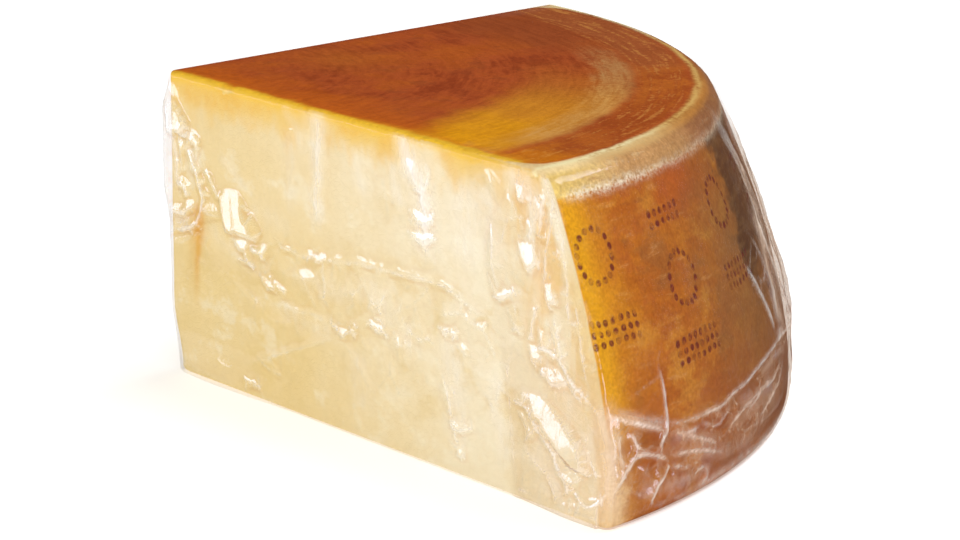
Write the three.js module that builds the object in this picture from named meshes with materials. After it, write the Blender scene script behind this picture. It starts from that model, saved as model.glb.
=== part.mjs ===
// A vacuum-packed eighth of a hard cheese wheel: a quarter sector of the wheel, cut through again at
// mid-height, sealed in a tight clear film. The solid is the outer skin of the sealed pack: the film
// lies on the cheese nearly everywhere and stands off it only in folds, ears and loose corners.
//
// Frame: millimetres, +Z up. The base lies on z = 0 and the origin is the centre of the bounding box
// at the base. One cut face looks towards -Y, the other towards -X, and the rind towards +X +Y.
// The wheel's own axis runs up through the tip of the wedge, at (AXIS, AXIS).
import * as THREE from "three";

// ---- driving dimensions ----------------------------------------------------------------------
const HEIGHT = 106.2; // base to top plate, half the height of the whole wheel
const BULGE_RADIUS = 215.0; // the side's largest radius, just above the mid-height cut
const BULGE_Z = 10.6; // height of that largest radius
const SIDE_DRAW_IN = 29.5; // how much smaller the radius is at the top plate
const SIDE_POWER = 1.55; // how the side curves in from the bulge to the plate
const PLATE_ROUND = 5.0; // rounding between the side and the top plate
const CUT_ROUND = 1.8; // rounding of the film over the cut faces' top edge
const FOOT_ROUND_SIDE = 5.5; // rounding of the film under the side
const FOOT_ROUND_CUT = 3.0; // rounding of the film under the cut faces
const TIP_ROUND = 3.0; // rounding of the wedge's vertical tip
const TIP_ROUND_FOOT = 10.0; // and at its foot, where the tip has crumbled away a little
const TIP_FOOT_Z = 26.0; // height over which the tip's rounding opens out
const CORNER_ROUND = 3.2; // rounding of the two edges between cut face and rind
const AXIS = -106.549; // x and y of the wheel's axis, set so that the origin is the box's centre

// Film folds: how far each stands proud of the cheese.
const EAR_HEIGHT = 1.7; // slack ear of film down the tip
const FOOT_FLARE_TIP = 3.0; // loose film at the foot of each cut face, near the tip
const FOOT_FLARE_RIND = 1.7; // and near the rind
const POCKET_HEIGHT = 2.6; // loose pocket on each cut face beside the rind
const OVERLAP_RIDGE = 0.8; // ridge of the film's overlap across each cut face, at mid-height
const OVERLAP_Z = 57.0;
const LEDGE_STEP = 0.9; // the film's second layer round the lower part of the rind
const LEDGE_Z_ENDS = 36.0; // height of that layer's edge at the two cut faces
const LEDGE_Z_MIDDLE = 24.5; // and along the middle of the rind
const FIN_HEIGHT = 2.4; // standing pleats of film down the middle of the rind
const FIN_WIDTH_DEG = 1.5;
const FIN_AZIMUTHS = [41.5, 46.0, 50.5];
const FIN_TOPS = [78.0, 70.0, 84.0];

// Mesh steps.
const TIP_STEPS = 8;
const CUT_STEPS = 22;
const CORNER_STEPS = 5;
const RIND_STEPS = 44;
const HEIGHTS = [
  0, 0.5, 1.6, 3.2, 5.5, 9, 13, 17.5, 21.5, 24, 26, 28.5, 31.5, 34.5, 37.5, 42, 47, 52, 55, 57, 59,
  62, 67, 73, 79, 85, 90.5, 95, 98.5, 101.2, 103, 104.4, 105.3, 105.9, HEIGHT,
];

const bump = (x, middle, half) => Math.exp(-(((x - middle) / half) ** 2));
const smooth = (a, b, x) => {
  const t = Math.min(1, Math.max(0, (x - a) / (b - a)));
  return t * t * (3 - 2 * t);
};
// Quarter-round pull-back of a rounded edge of radius r, at a distance d from the plane it runs into.
const rounded = (r, d) => (d >= r ? 0 : r - Math.sqrt(Math.max(0, r * r - (r - d) ** 2)));

// ---- the wheel's side ------------------------------------------------------------------------
function sideRadius(z) {
  const t = Math.max(0, (z - BULGE_Z) / (HEIGHT - BULGE_Z));
  return (
    BULGE_RADIUS -
    SIDE_DRAW_IN * t ** SIDE_POWER -
    rounded(PLATE_ROUND, HEIGHT - z) -
    rounded(FOOT_ROUND_SIDE, z) * 0.75
  );
}
const cutInset = (z) => rounded(CUT_ROUND, HEIGHT - z) + rounded(FOOT_ROUND_CUT, z) * 0.7;
const tipRound = (z) =>
  TIP_ROUND + (TIP_ROUND_FOOT - TIP_ROUND) * (1 - smooth(0, TIP_FOOT_Z, z));

// ---- film folds, as outward displacement -------------------------------------------------------
// along runs from 0 at the tip to about BULGE_RADIUS at the rind on a cut face.
function cutFold(along, z) {
  return (
    FOOT_FLARE_TIP * bump(along, 27, 20) * (1 - smooth(0.5, 17, z)) +
    FOOT_FLARE_RIND * bump(along, 200, 12) * (1 - smooth(0.5, 12, z)) +
    POCKET_HEIGHT * bump(along, 197, 11) * smooth(6, 16, z) * (1 - smooth(30, 54, z)) +
    OVERLAP_RIDGE *
      smooth(30, 50, along) *
      (1 - smooth(168, 182, along)) *
      bump(z, OVERLAP_Z + 1.5 * Math.sin(along / 17), 2.6) +
    EAR_HEIGHT * (1 - smooth(4, 16, along)) * smooth(44, 56, z) * (1 - smooth(78, 98, z))
  );
}
const ledgeHeight = (degrees) =>
  LEDGE_Z_MIDDLE +
  (LEDGE_Z_ENDS - LEDGE_Z_MIDDLE) * (1 - smooth(0, 11, Math.min(degrees, 90 - degrees))) +
  1.2 * Math.sin(degrees / 3.1);
function rindFold(degrees, z) {
  let d = LEDGE_STEP * (1 - smooth(-1.6, 1.6, z - ledgeHeight(degrees))) * smooth(0, 8, z);
  FIN_AZIMUTHS.forEach((middle, i) => {
    d +=
      FIN_HEIGHT *
      bump(degrees, middle + (FIN_TOPS[i] - z) * 0.02, FIN_WIDTH_DEG) *
      smooth(8, 26, z) *
      (1 - smooth(FIN_TOPS[i] - 34, FIN_TOPS[i], z));
  });
  return d;
}

// ---- one level's outline: tip, cut face, corner, rind, corner, cut face, anticlockwise ---------
function outline(z) {
  const R = sideRadius(z);
  const e = cutInset(z);
  const rt = Math.max(0.4, tipRound(z) - e);
  const rc = Math.max(0.5, CORNER_ROUND - 0.5 * rounded(PLATE_ROUND, HEIGHT - z));
  const reach = Math.sqrt((R - rc) ** 2 - (e + rc) ** 2); // of the corner's centre along the cut
  const turn = Math.atan2(e + rc, reach);
  const h = Math.PI / 2;
  const path = new THREE.Path();
  path.absarc(e + rt, e + rt, rt, -2 * h, -h, false);
  path.lineTo(reach, e);
  path.absarc(reach, e + rc, rc, -h, turn, false);
  path.absarc(0, 0, R, turn, h - turn, false);
  path.absarc(e + rc, reach, rc, h - turn, 2 * h, false);
  path.lineTo(e, e + rt);
  const parts = path.curves.filter((c) => c.getLength() > 1e-6);
  const steps = [TIP_STEPS, CUT_STEPS, CORNER_STEPS, RIND_STEPS, CORNER_STEPS, CUT_STEPS];
  const ring = [];
  parts.forEach((curve, i) => {
    for (let k = 0; k < steps[i]; k++) {
      const p = curve.getPoint(k / steps[i]);
      const t = curve.getTangent(k / steps[i]);
      ring.push({ p, n: new THREE.Vector2(t.y, -t.x) });
    }
  });
  return ring.map(({ p, n }) => {
    const degrees = THREE.MathUtils.radToDeg(Math.atan2(p.y, p.x));
    const onRind = smooth(R - 9, R - 2, Math.hypot(p.x, p.y));
    const nearCut = cutFold(Math.max(p.x, p.y), z);
    const d = onRind * rindFold(degrees, z) + (1 - onRind) * nearCut;
    return new THREE.Vector3(p.x + n.x * d, p.y + n.y * d, z);
  });
}

// ---- loft the outlines and close both ends ---------------------------------------------------
function packGeometry() {
  const rings = HEIGHTS.map(outline);
  const n = rings[0].length;
  const points = rings.flat();
  const index = [];
  for (let r = 0; r + 1 < rings.length; r++)
    for (let i = 0; i < n; i++) {
      const a = r * n + i;
      const b = r * n + ((i + 1) % n);
      index.push(a, b, b + n, a, b + n, a + n);
    }
  const close = (ring, z, up) => {
    const centre = new THREE.Vector3(0.42 * BULGE_RADIUS, 0.42 * BULGE_RADIUS, z);
    const c = points.push(centre) - 1;
    for (let i = 0; i < n; i++) {
      const a = ring * n + i;
      const b = ring * n + ((i + 1) % n);
      up ? index.push(c, a, b) : index.push(c, b, a);
    }
  };
  close(0, 0, false);
  close(rings.length - 1, HEIGHT, true);
  return new THREE.BufferGeometry().setFromPoints(points).setIndex(index);
}

const geometry = packGeometry();
geometry.computeVertexNormals();

const pack = new THREE.Mesh(
  geometry,
  new THREE.MeshStandardMaterial({ color: 0xe6cf96, roughness: 0.25, metalness: 0 }),
);
pack.name = "sealed_cheese_wedge";
pack.position.set(AXIS, AXIS, 0);

const group = new THREE.Group();
group.name = "vacuum_packed_cheese_wedge";
group.add(pack);
export default group;
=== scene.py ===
import math
import bpy
import numpy as np
from mathutils import Matrix, Vector
from mathutils.bvhtree import BVHTree
from mathutils.geometry import delaunay_2d_cdt


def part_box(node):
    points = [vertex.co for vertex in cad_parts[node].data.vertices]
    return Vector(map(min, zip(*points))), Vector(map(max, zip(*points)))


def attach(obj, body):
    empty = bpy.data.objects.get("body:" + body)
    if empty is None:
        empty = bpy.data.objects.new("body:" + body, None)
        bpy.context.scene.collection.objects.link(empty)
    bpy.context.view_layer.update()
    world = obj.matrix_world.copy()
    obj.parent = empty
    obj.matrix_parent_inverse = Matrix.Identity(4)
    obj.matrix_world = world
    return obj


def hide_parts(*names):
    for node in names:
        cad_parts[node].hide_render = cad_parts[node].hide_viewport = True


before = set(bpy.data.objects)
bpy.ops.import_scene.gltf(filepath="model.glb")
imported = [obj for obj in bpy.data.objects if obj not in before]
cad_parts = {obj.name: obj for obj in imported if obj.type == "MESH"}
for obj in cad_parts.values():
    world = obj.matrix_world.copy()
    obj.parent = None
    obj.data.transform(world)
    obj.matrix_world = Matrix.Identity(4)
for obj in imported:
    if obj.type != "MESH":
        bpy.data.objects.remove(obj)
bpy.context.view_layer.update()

NODE = "sealed_cheese_wedge"
NODE_LO, NODE_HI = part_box(NODE)

# ------------------------------------------------------------------------------------------------
# Sizes in millimetres, in the wheel's own frame: the wheel's axis is x = y = 0, one cut face lies
# in y = 0 and the other in x = 0. Everything is moved by AXIS and scaled to metres at the end.
# ------------------------------------------------------------------------------------------------
MM = 0.001
HEIGHT = (NODE_HI.z - NODE_LO.z) * 1000.0
AXIS = NODE_LO.x * 1000.0 + 2.778   # the loosest foot fold stands that far outside the wheel's axis
BULGE_RADIUS = 215.0
BULGE_Z = 10.6
SIDE_DRAW_IN = 29.5
SIDE_POWER = 1.55
PLATE_ROUND = 5.0
CUT_ROUND = 1.8
FOOT_ROUND_SIDE = 2.6
FOOT_ROUND_CUT = 1.2
TIP_ROUND = 3.0
TIP_ROUND_FOOT = 10.0
TIP_FOOT_Z = 26.0
CORNER_ROUND = 3.2
FILM_GAP = 0.45                     # the cheese lies this far inside the film's own surface


def smooth(a, b, x):
    t = np.clip((np.asarray(x, float) - a) / (b - a), 0, 1)
    return t * t * (3 - 2 * t)


def bump(x, middle, half):
    return np.exp(-(((x - middle) / half) ** 2))


def rounded(r, d):
    d = np.asarray(d, float)
    return np.where(d >= r, 0.0, r - np.sqrt(np.maximum(0, r * r - (r - np.minimum(d, r)) ** 2)))


def side_radius(z):
    t = np.maximum(0, (z - BULGE_Z) / (HEIGHT - BULGE_Z))
    return (BULGE_RADIUS - SIDE_DRAW_IN * t ** SIDE_POWER - rounded(PLATE_ROUND, HEIGHT - z)
            - rounded(FOOT_ROUND_SIDE, z) * 0.75)


def cut_inset(z):
    return rounded(CUT_ROUND, HEIGHT - z) + rounded(FOOT_ROUND_CUT, z) * 0.7


def tip_round(z):
    return TIP_ROUND + (TIP_ROUND_FOOT - TIP_ROUND) * (1 - smooth(0, TIP_FOOT_Z, z))


# ---- outline of the pack at a height, and a closed loft of such outlines -------------------------
TIP, FRONT, CORNER_A, RIND, CORNER_B, BACK = range(6)


def outline(z, steps, inset=0.0):
    """Points, outward normals, region numbers and a place along each region, anticlockwise from the tip's back."""
    R = float(side_radius(z)) - inset
    e = float(cut_inset(z)) + inset
    rt = max(0.4, float(tip_round(z)) - float(cut_inset(z)) - 0.3 * inset)
    rc = max(0.5, CORNER_ROUND - 0.5 * float(rounded(PLATE_ROUND, HEIGHT - z)) - 0.3 * inset)
    reach = math.sqrt((R - rc) ** 2 - (e + rc) ** 2)
    turn = math.atan2(e + rc, reach)
    h = math.pi / 2
    P, N, G, W = [], [], [], []

    def arc(cx, cy, r, a0, a1, n, region):
        t = np.arange(n) / n
        a = a0 + (a1 - a0) * t
        P.append(np.stack([cx + r * np.cos(a), cy + r * np.sin(a)], 1))
        N.append(np.stack([np.cos(a), np.sin(a)], 1))
        G.append(np.full(n, region)); W.append(t)

    def line(x0, y0, x1, y1, n, nx, ny, region, bias=0.0):
        t = np.arange(n) / n
        P.append(np.stack([x0 + (x1 - x0) * t, y0 + (y1 - y0) * t], 1))
        N.append(np.tile([nx, ny], (n, 1)).astype(float))
        G.append(np.full(n, region)); W.append(t)

    arc(e + rt, e + rt, rt, -2 * h, -h, steps[0], TIP)
    line(e + rt, e, reach, e, steps[1], 0, -1, FRONT)
    arc(reach, e + rc, rc, -h, turn, steps[2], CORNER_A)
    # the seen half of the rind has closer steps than the hidden half
    n = steps[3]
    t = np.arange(n) / n
    t = t - 0.35 * t * (1 - t)
    a = turn + (h - 2 * turn) * t
    P.append(np.stack([R * np.cos(a), R * np.sin(a)], 1))
    N.append(np.stack([np.cos(a), np.sin(a)], 1))
    G.append(np.full(n, RIND)); W.append(t)
    arc(e + rc, reach, rc, h - turn, 2 * h, steps[4], CORNER_B)
    line(e, reach, e, e + rt, steps[5], -1, 0, BACK)
    return np.concatenate(P), np.concatenate(N), np.concatenate(G), np.concatenate(W)


def levels(step, closer=0.0):
    """Heights with closer steps at the two rounded edges."""
    low = [0, 0.25, 0.8, 1.6, 2.5, 3.6, 4.8]
    high = [HEIGHT - d for d in (0, 0.12, 0.45, 1.0, 1.7, 2.5, 3.4, 4.3)]
    n = int(round((high[-1] - low[-1]) / step))
    t = np.linspace(0, 1, n + 1)[1:-1]
    mid = list(low[-1] + (high[-1] - low[-1]) * (t - closer * t * (1 - t)))
    return np.array(low + mid + high[::-1])


def grid(steps, zs, inset=0.0):
    """(rows, columns, 3) of points, their outward normals, and the region of each column."""
    rings = [outline(z, steps, inset) for z in zs]
    P = np.stack([np.column_stack([p, np.full(len(p), z)]) for (p, _, _, _), z in zip(rings, zs)])
    G = rings[0][2]
    # normals of the lofted surface
    du = np.roll(P, -1, 1) - np.roll(P, 1, 1)
    dv = np.gradient(P, axis=0)
    N = np.cross(du, dv)
    N /= np.maximum(np.linalg.norm(N, axis=2, keepdims=True), 1e-9)
    return P, N, G


# ---- smooth noise in space ----------------------------------------------------------------------
_rng = np.random.default_rng(20260)
_perm = np.concatenate([_rng.permutation(256)] * 3)
_grad = _rng.normal(size=(256, 3)); _grad /= np.linalg.norm(_grad, axis=1, keepdims=True)


def noise(p):
    """Gradient noise, about -0.7 to 0.7, of points p (..., 3)."""
    q = np.floor(p).astype(int)
    f = p - q
    q &= 255
    u = f * f * f * (f * (f * 6 - 15) + 10)
    total = 0.0
    for i in (0, 1):
        for j in (0, 1):
            for k in (0, 1):
                h = _perm[_perm[_perm[q[..., 0] + i] + q[..., 1] + j] + q[..., 2] + k]
                g = _grad[h]
                d = f - np.array([i, j, k])
                w = ((u[..., 0] if i else 1 - u[..., 0]) * (u[..., 1] if j else 1 - u[..., 1])
                     * (u[..., 2] if k else 1 - u[..., 2]))
                total = total + w * (g * d).sum(-1)
    return total


def mesh_object(name, verts, faces, material, smooth_shading=True):
    me = bpy.data.meshes.new(name)
    me.from_pydata([tuple(v) for v in verts], [], [tuple(int(i) for i in f) for f in faces])
    me.validate()
    me.update()
    if smooth_shading:
        me.polygons.foreach_set("use_smooth", [True] * len(me.polygons))
    if material:
        me.materials.append(material)
    ob = bpy.data.objects.new(name, me)
    bpy.context.scene.collection.objects.link(ob)
    return ob


def add_attribute(ob, name, values):
    a = ob.data.attributes.new(name, "FLOAT", "POINT")
    a.data.foreach_set("value", np.asarray(values, np.float32).ravel())


def close_loft(P, cap_rings, top_fn=None, bottom_fn=None):
    """Quads round the rows of P, with both ends closed by rings that shrink to a middle point."""
    rows, cols, _ = P.shape
    verts = [P.reshape(-1, 3)]
    faces = []
    a = np.arange(rows - 1)[:, None] * cols + np.arange(cols)[None, :]
    b = np.arange(rows - 1)[:, None] * cols + (np.arange(cols)[None, :] + 1) % cols
    faces += np.stack([a, b, b + cols, a + cols], -1).reshape(-1, 4).tolist()
    count = rows * cols
    for up, ring_index, fn in ((False, 0, bottom_fn), (True, rows - 1, top_fn)):
        edge = P[ring_index]
        centre = np.array([0.40 * BULGE_RADIUS, 0.40 * BULGE_RADIUS, edge[0, 2]])
        previous = np.arange(cols) + ring_index * cols
        for k in range(1, cap_rings):
            t = 1 - (k / cap_rings)
            ring = centre + (edge - centre) * t
            if fn is not None:
                ring[:, 2] += fn(ring) * smooth(0, 5, k)
            verts.append(ring)
            now = np.arange(cols) + count
            count += cols
            nxt = np.roll(previous, -1), np.roll(now, -1)
            quads = np.stack([previous, nxt[0], nxt[1], now], -1) if up else np.stack([previous, now, nxt[1], nxt[0]], -1)
            faces += quads.tolist()
            previous = now
        mid = centre[None, :].copy()
        if fn is not None:
            mid[:, 2] += fn(mid)
        verts.append(mid)
        tris = np.stack([previous, np.roll(previous, -1), np.full(cols, count)], -1)
        if not up:
            tris = tris[:, [0, 2, 1]]
        faces += tris.tolist()
        count += 1
    return np.concatenate(verts), faces


def to_world(v):
    return (v + np.array([AXIS, AXIS, 0.0])) * MM


# ------------------------------------------------------------------------------------------------
# Node materials, written as sums of small node functions
# ------------------------------------------------------------------------------------------------
class Nodes:
    """Builds a node tree by arithmetic on sockets."""

    def __init__(self, material):
        material.use_nodes = True
        self.tree = material.node_tree
        self.tree.nodes.clear()

    def node(self, kind, **props):
        n = self.tree.nodes.new(kind)
        for k, v in props.items():
            setattr(n, k, v)
        return n

    def link(self, value, socket):
        if isinstance(value, S):
            self.tree.links.new(value.socket, socket)
        elif isinstance(value, (tuple, list)):
            socket.default_value = tuple(value) + ((1.0,) if len(value) == 3 and len(socket.default_value) == 4 else ())
        else:
            socket.default_value = value

    def math(self, op, *args, clamp=False):
        n = self.node("ShaderNodeMath", operation=op, use_clamp=clamp)
        for i, a in enumerate(args):
            self.link(a, n.inputs[i])
        return S(self, n.outputs[0])

    def step(self, a, b, x):
        """0 below a, 1 above b, smooth between."""
        n = self.node("ShaderNodeMapRange", interpolation_type="SMOOTHSTEP")
        if a <= b:
            lo, hi, t0, t1 = a, b, 0.0, 1.0
        else:
            lo, hi, t0, t1 = b, a, 1.0, 0.0
        self.link(x, n.inputs["Value"])
        n.inputs["From Min"].default_value = lo
        n.inputs["From Max"].default_value = hi
        n.inputs["To Min"].default_value = t0
        n.inputs["To Max"].default_value = t1
        return S(self, n.outputs[0])

    def hump(self, x, middle, half):
        """A smooth hump of height 1."""
        d = (x - middle) * (1.0 / half)
        return self.math("EXPONENT", self.math("MULTIPLY", d * d, -1.0))

    def mix(self, factor, a, b):
        n = self.node("ShaderNodeMix", data_type="RGBA", blend_type="MIX", clamp_factor=True)
        self.link(factor, n.inputs[0])
        self.link(a, n.inputs[6])
        self.link(b, n.inputs[7])
        return S(self, n.outputs[2])

    def blend(self, kind, factor, a, b):
        n = self.node("ShaderNodeMix", data_type="RGBA", blend_type=kind, clamp_factor=True)
        self.link(factor, n.inputs[0])
        self.link(a, n.inputs[6])
        self.link(b, n.inputs[7])
        return S(self, n.outputs[2])

    def mixf(self, factor, a, b):
        """a where factor is 0 and b where it is 1."""
        return factor * (b - a) + a

    def vector(self, x, y, z):
        n = self.node("ShaderNodeCombineXYZ")
        for i, a in enumerate((x, y, z)):
            self.link(a, n.inputs[i])
        return S(self, n.outputs[0])

    def noise(self, vector, scale, detail=3.0, roughness=0.5, distortion=0.0, kind="FBM"):
        n = self.node("ShaderNodeTexNoise", noise_dimensions="3D", noise_type=kind)
        self.link(vector, n.inputs["Vector"])
        n.inputs["Scale"].default_value = scale
        n.inputs["Detail"].default_value = detail
        n.inputs["Roughness"].default_value = roughness
        n.inputs["Distortion"].default_value = distortion
        return S(self, n.outputs[0])

    def voronoi(self, vector, scale, feature="F1", randomness=1.0, output="Distance"):
        n = self.node("ShaderNodeTexVoronoi", feature=feature)
        self.link(vector, n.inputs["Vector"])
        n.inputs["Scale"].default_value = scale
        n.inputs["Randomness"].default_value = randomness
        return S(self, n.outputs[output])

    def attribute(self, name):
        n = self.node("ShaderNodeAttribute", attribute_name=name, attribute_type="GEOMETRY")
        return S(self, n.outputs["Fac"])

    def object_mm(self):
        """x, y, z in millimetres in the wheel's frame, and the same as one vector."""
        n = self.node("ShaderNodeTexCoord")
        sep = self.node("ShaderNodeSeparateXYZ")
        self.tree.links.new(n.outputs["Object"], sep.inputs[0])
        x = S(self, sep.outputs[0]) * 1000.0 - AXIS
        y = S(self, sep.outputs[1]) * 1000.0 - AXIS
        z = S(self, sep.outputs[2]) * 1000.0
        return x, y, z, self.vector(x, y, z)


class S:
    """A socket that can be added, taken away and multiplied."""

    def __init__(self, nodes, socket):
        self.n, self.socket = nodes, socket

    def __add__(self, o): return self.n.math("ADD", self, o)
    def __radd__(self, o): return self.n.math("ADD", self, o)
    def __sub__(self, o): return self.n.math("SUBTRACT", self, o)
    def __rsub__(self, o): return self.n.math("SUBTRACT", o, self)
    def __mul__(self, o): return self.n.math("MULTIPLY", self, o)
    def __rmul__(self, o): return self.n.math("MULTIPLY", self, o)
    def __truediv__(self, o): return self.n.math("DIVIDE", self, o)


def side_radius_nodes(n, z):
    t = n.math("MAXIMUM", (z - BULGE_Z) * (1.0 / (HEIGHT - BULGE_Z)), 0.0)
    return BULGE_RADIUS - n.math("POWER", t, SIDE_POWER) * SIDE_DRAW_IN


# ------------------------------------------------------------------------------------------------
# Cheese
# ------------------------------------------------------------------------------------------------
PASTE = (0.86, 0.668, 0.325)
PASTE_PALE = (0.93, 0.82, 0.605)
PASTE_WARM = (0.845, 0.645, 0.287)
UNDER_RIND = (0.85, 0.50, 0.075)
EDGE_LINE = (0.88, 0.53, 0.045)
PLATE_RED = (0.450, 0.086, 0.0175)
PLATE_DARK = (0.335, 0.074, 0.017)
PLATE_ORANGE = (0.60, 0.130, 0.009)
PLATE_OCHRE = (0.69, 0.265, 0.018)
PLATE_GOLD = (0.84, 0.355, 0.006)
PLATE_PALE = (0.66, 0.315, 0.068)
PLATE_EDGE = (0.84, 0.54, 0.18)
BAND = (0.75, 0.515, 0.205)
BAND_YELLOW = (0.86, 0.64, 0.20)
WHITE_LINE = (0.93, 0.83, 0.64)
RIND_BASE = (0.45, 0.120, 0.010)
RIND_LIGHT = (0.53, 0.164, 0.012)
RIND_YELLOW = (0.79, 0.37, 0.008)
RIND_OLIVE = (0.30, 0.135, 0.042)
RIND_RED = (0.44, 0.110, 0.016)
MARKS = (0.165, 0.022, 0.016)


def dotted_marks(n, a, z, wobble):
    """Rows and rings of small dots pressed into the rind: plain marks with no letters. a is the distance round the rind."""
    pitch = 41.0
    shifted = a + 9.0
    column = n.math("FLOOR", shifted * (1.0 / pitch))
    odd = n.math("FLOORED_MODULO", column, 2.0)
    u = n.math("FLOORED_MODULO", shifted, pitch) - pitch / 2 + wobble * 0.8
    total = None

    def ring(height, radius, count):
        v = z - height + wobble * 0.6
        rho = n.math("SQRT", u * u + v * v)
        turn = n.math("ARCTAN2", v, u) * (count / (2 * math.pi)) + count
        along = (n.math("FRACT", turn) - 0.5) * (2 * math.pi * radius / count)
        across = rho - radius
        return n.step(1.30, 0.75, n.math("SQRT", along * along + across * across))

    def rows(height, half_width, count, pitch_u, pitch_v):
        half_height = count * pitch_v / 2
        v = z - height + wobble * 0.6 + (pitch_v / 2 if count % 2 else 0.0)
        du = (n.math("FRACT", u * (1 / pitch_u)) - 0.5) * pitch_u
        dv = (n.math("FRACT", v * (1 / pitch_v)) - 0.5) * pitch_v
        dot = n.step(1.30, 0.75, n.math("SQRT", du * du + dv * dv))
        middle = v - (pitch_v / 2 if count % 2 else 0.0)
        inside = n.step(half_width, half_width - 0.2, n.math("ABSOLUTE", u)) * n.step(half_height, half_height - 0.15, n.math("ABSOLUTE", middle))
        return dot * inside

    even_marks = n.math("MAXIMUM", ring(80.0, 7.6, 16), rows(58.5, 13.2, 3, 3.3, 3.2))
    odd_marks = n.math("MAXIMUM", rows(85.0, 9.9, 2, 3.3, 3.2), n.math("MAXIMUM", ring(66.0, 7.6, 16), rows(45.5, 13.2, 3, 3.3, 3.2)))
    return even_marks * (1.0 - odd) + odd_marks * odd


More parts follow.
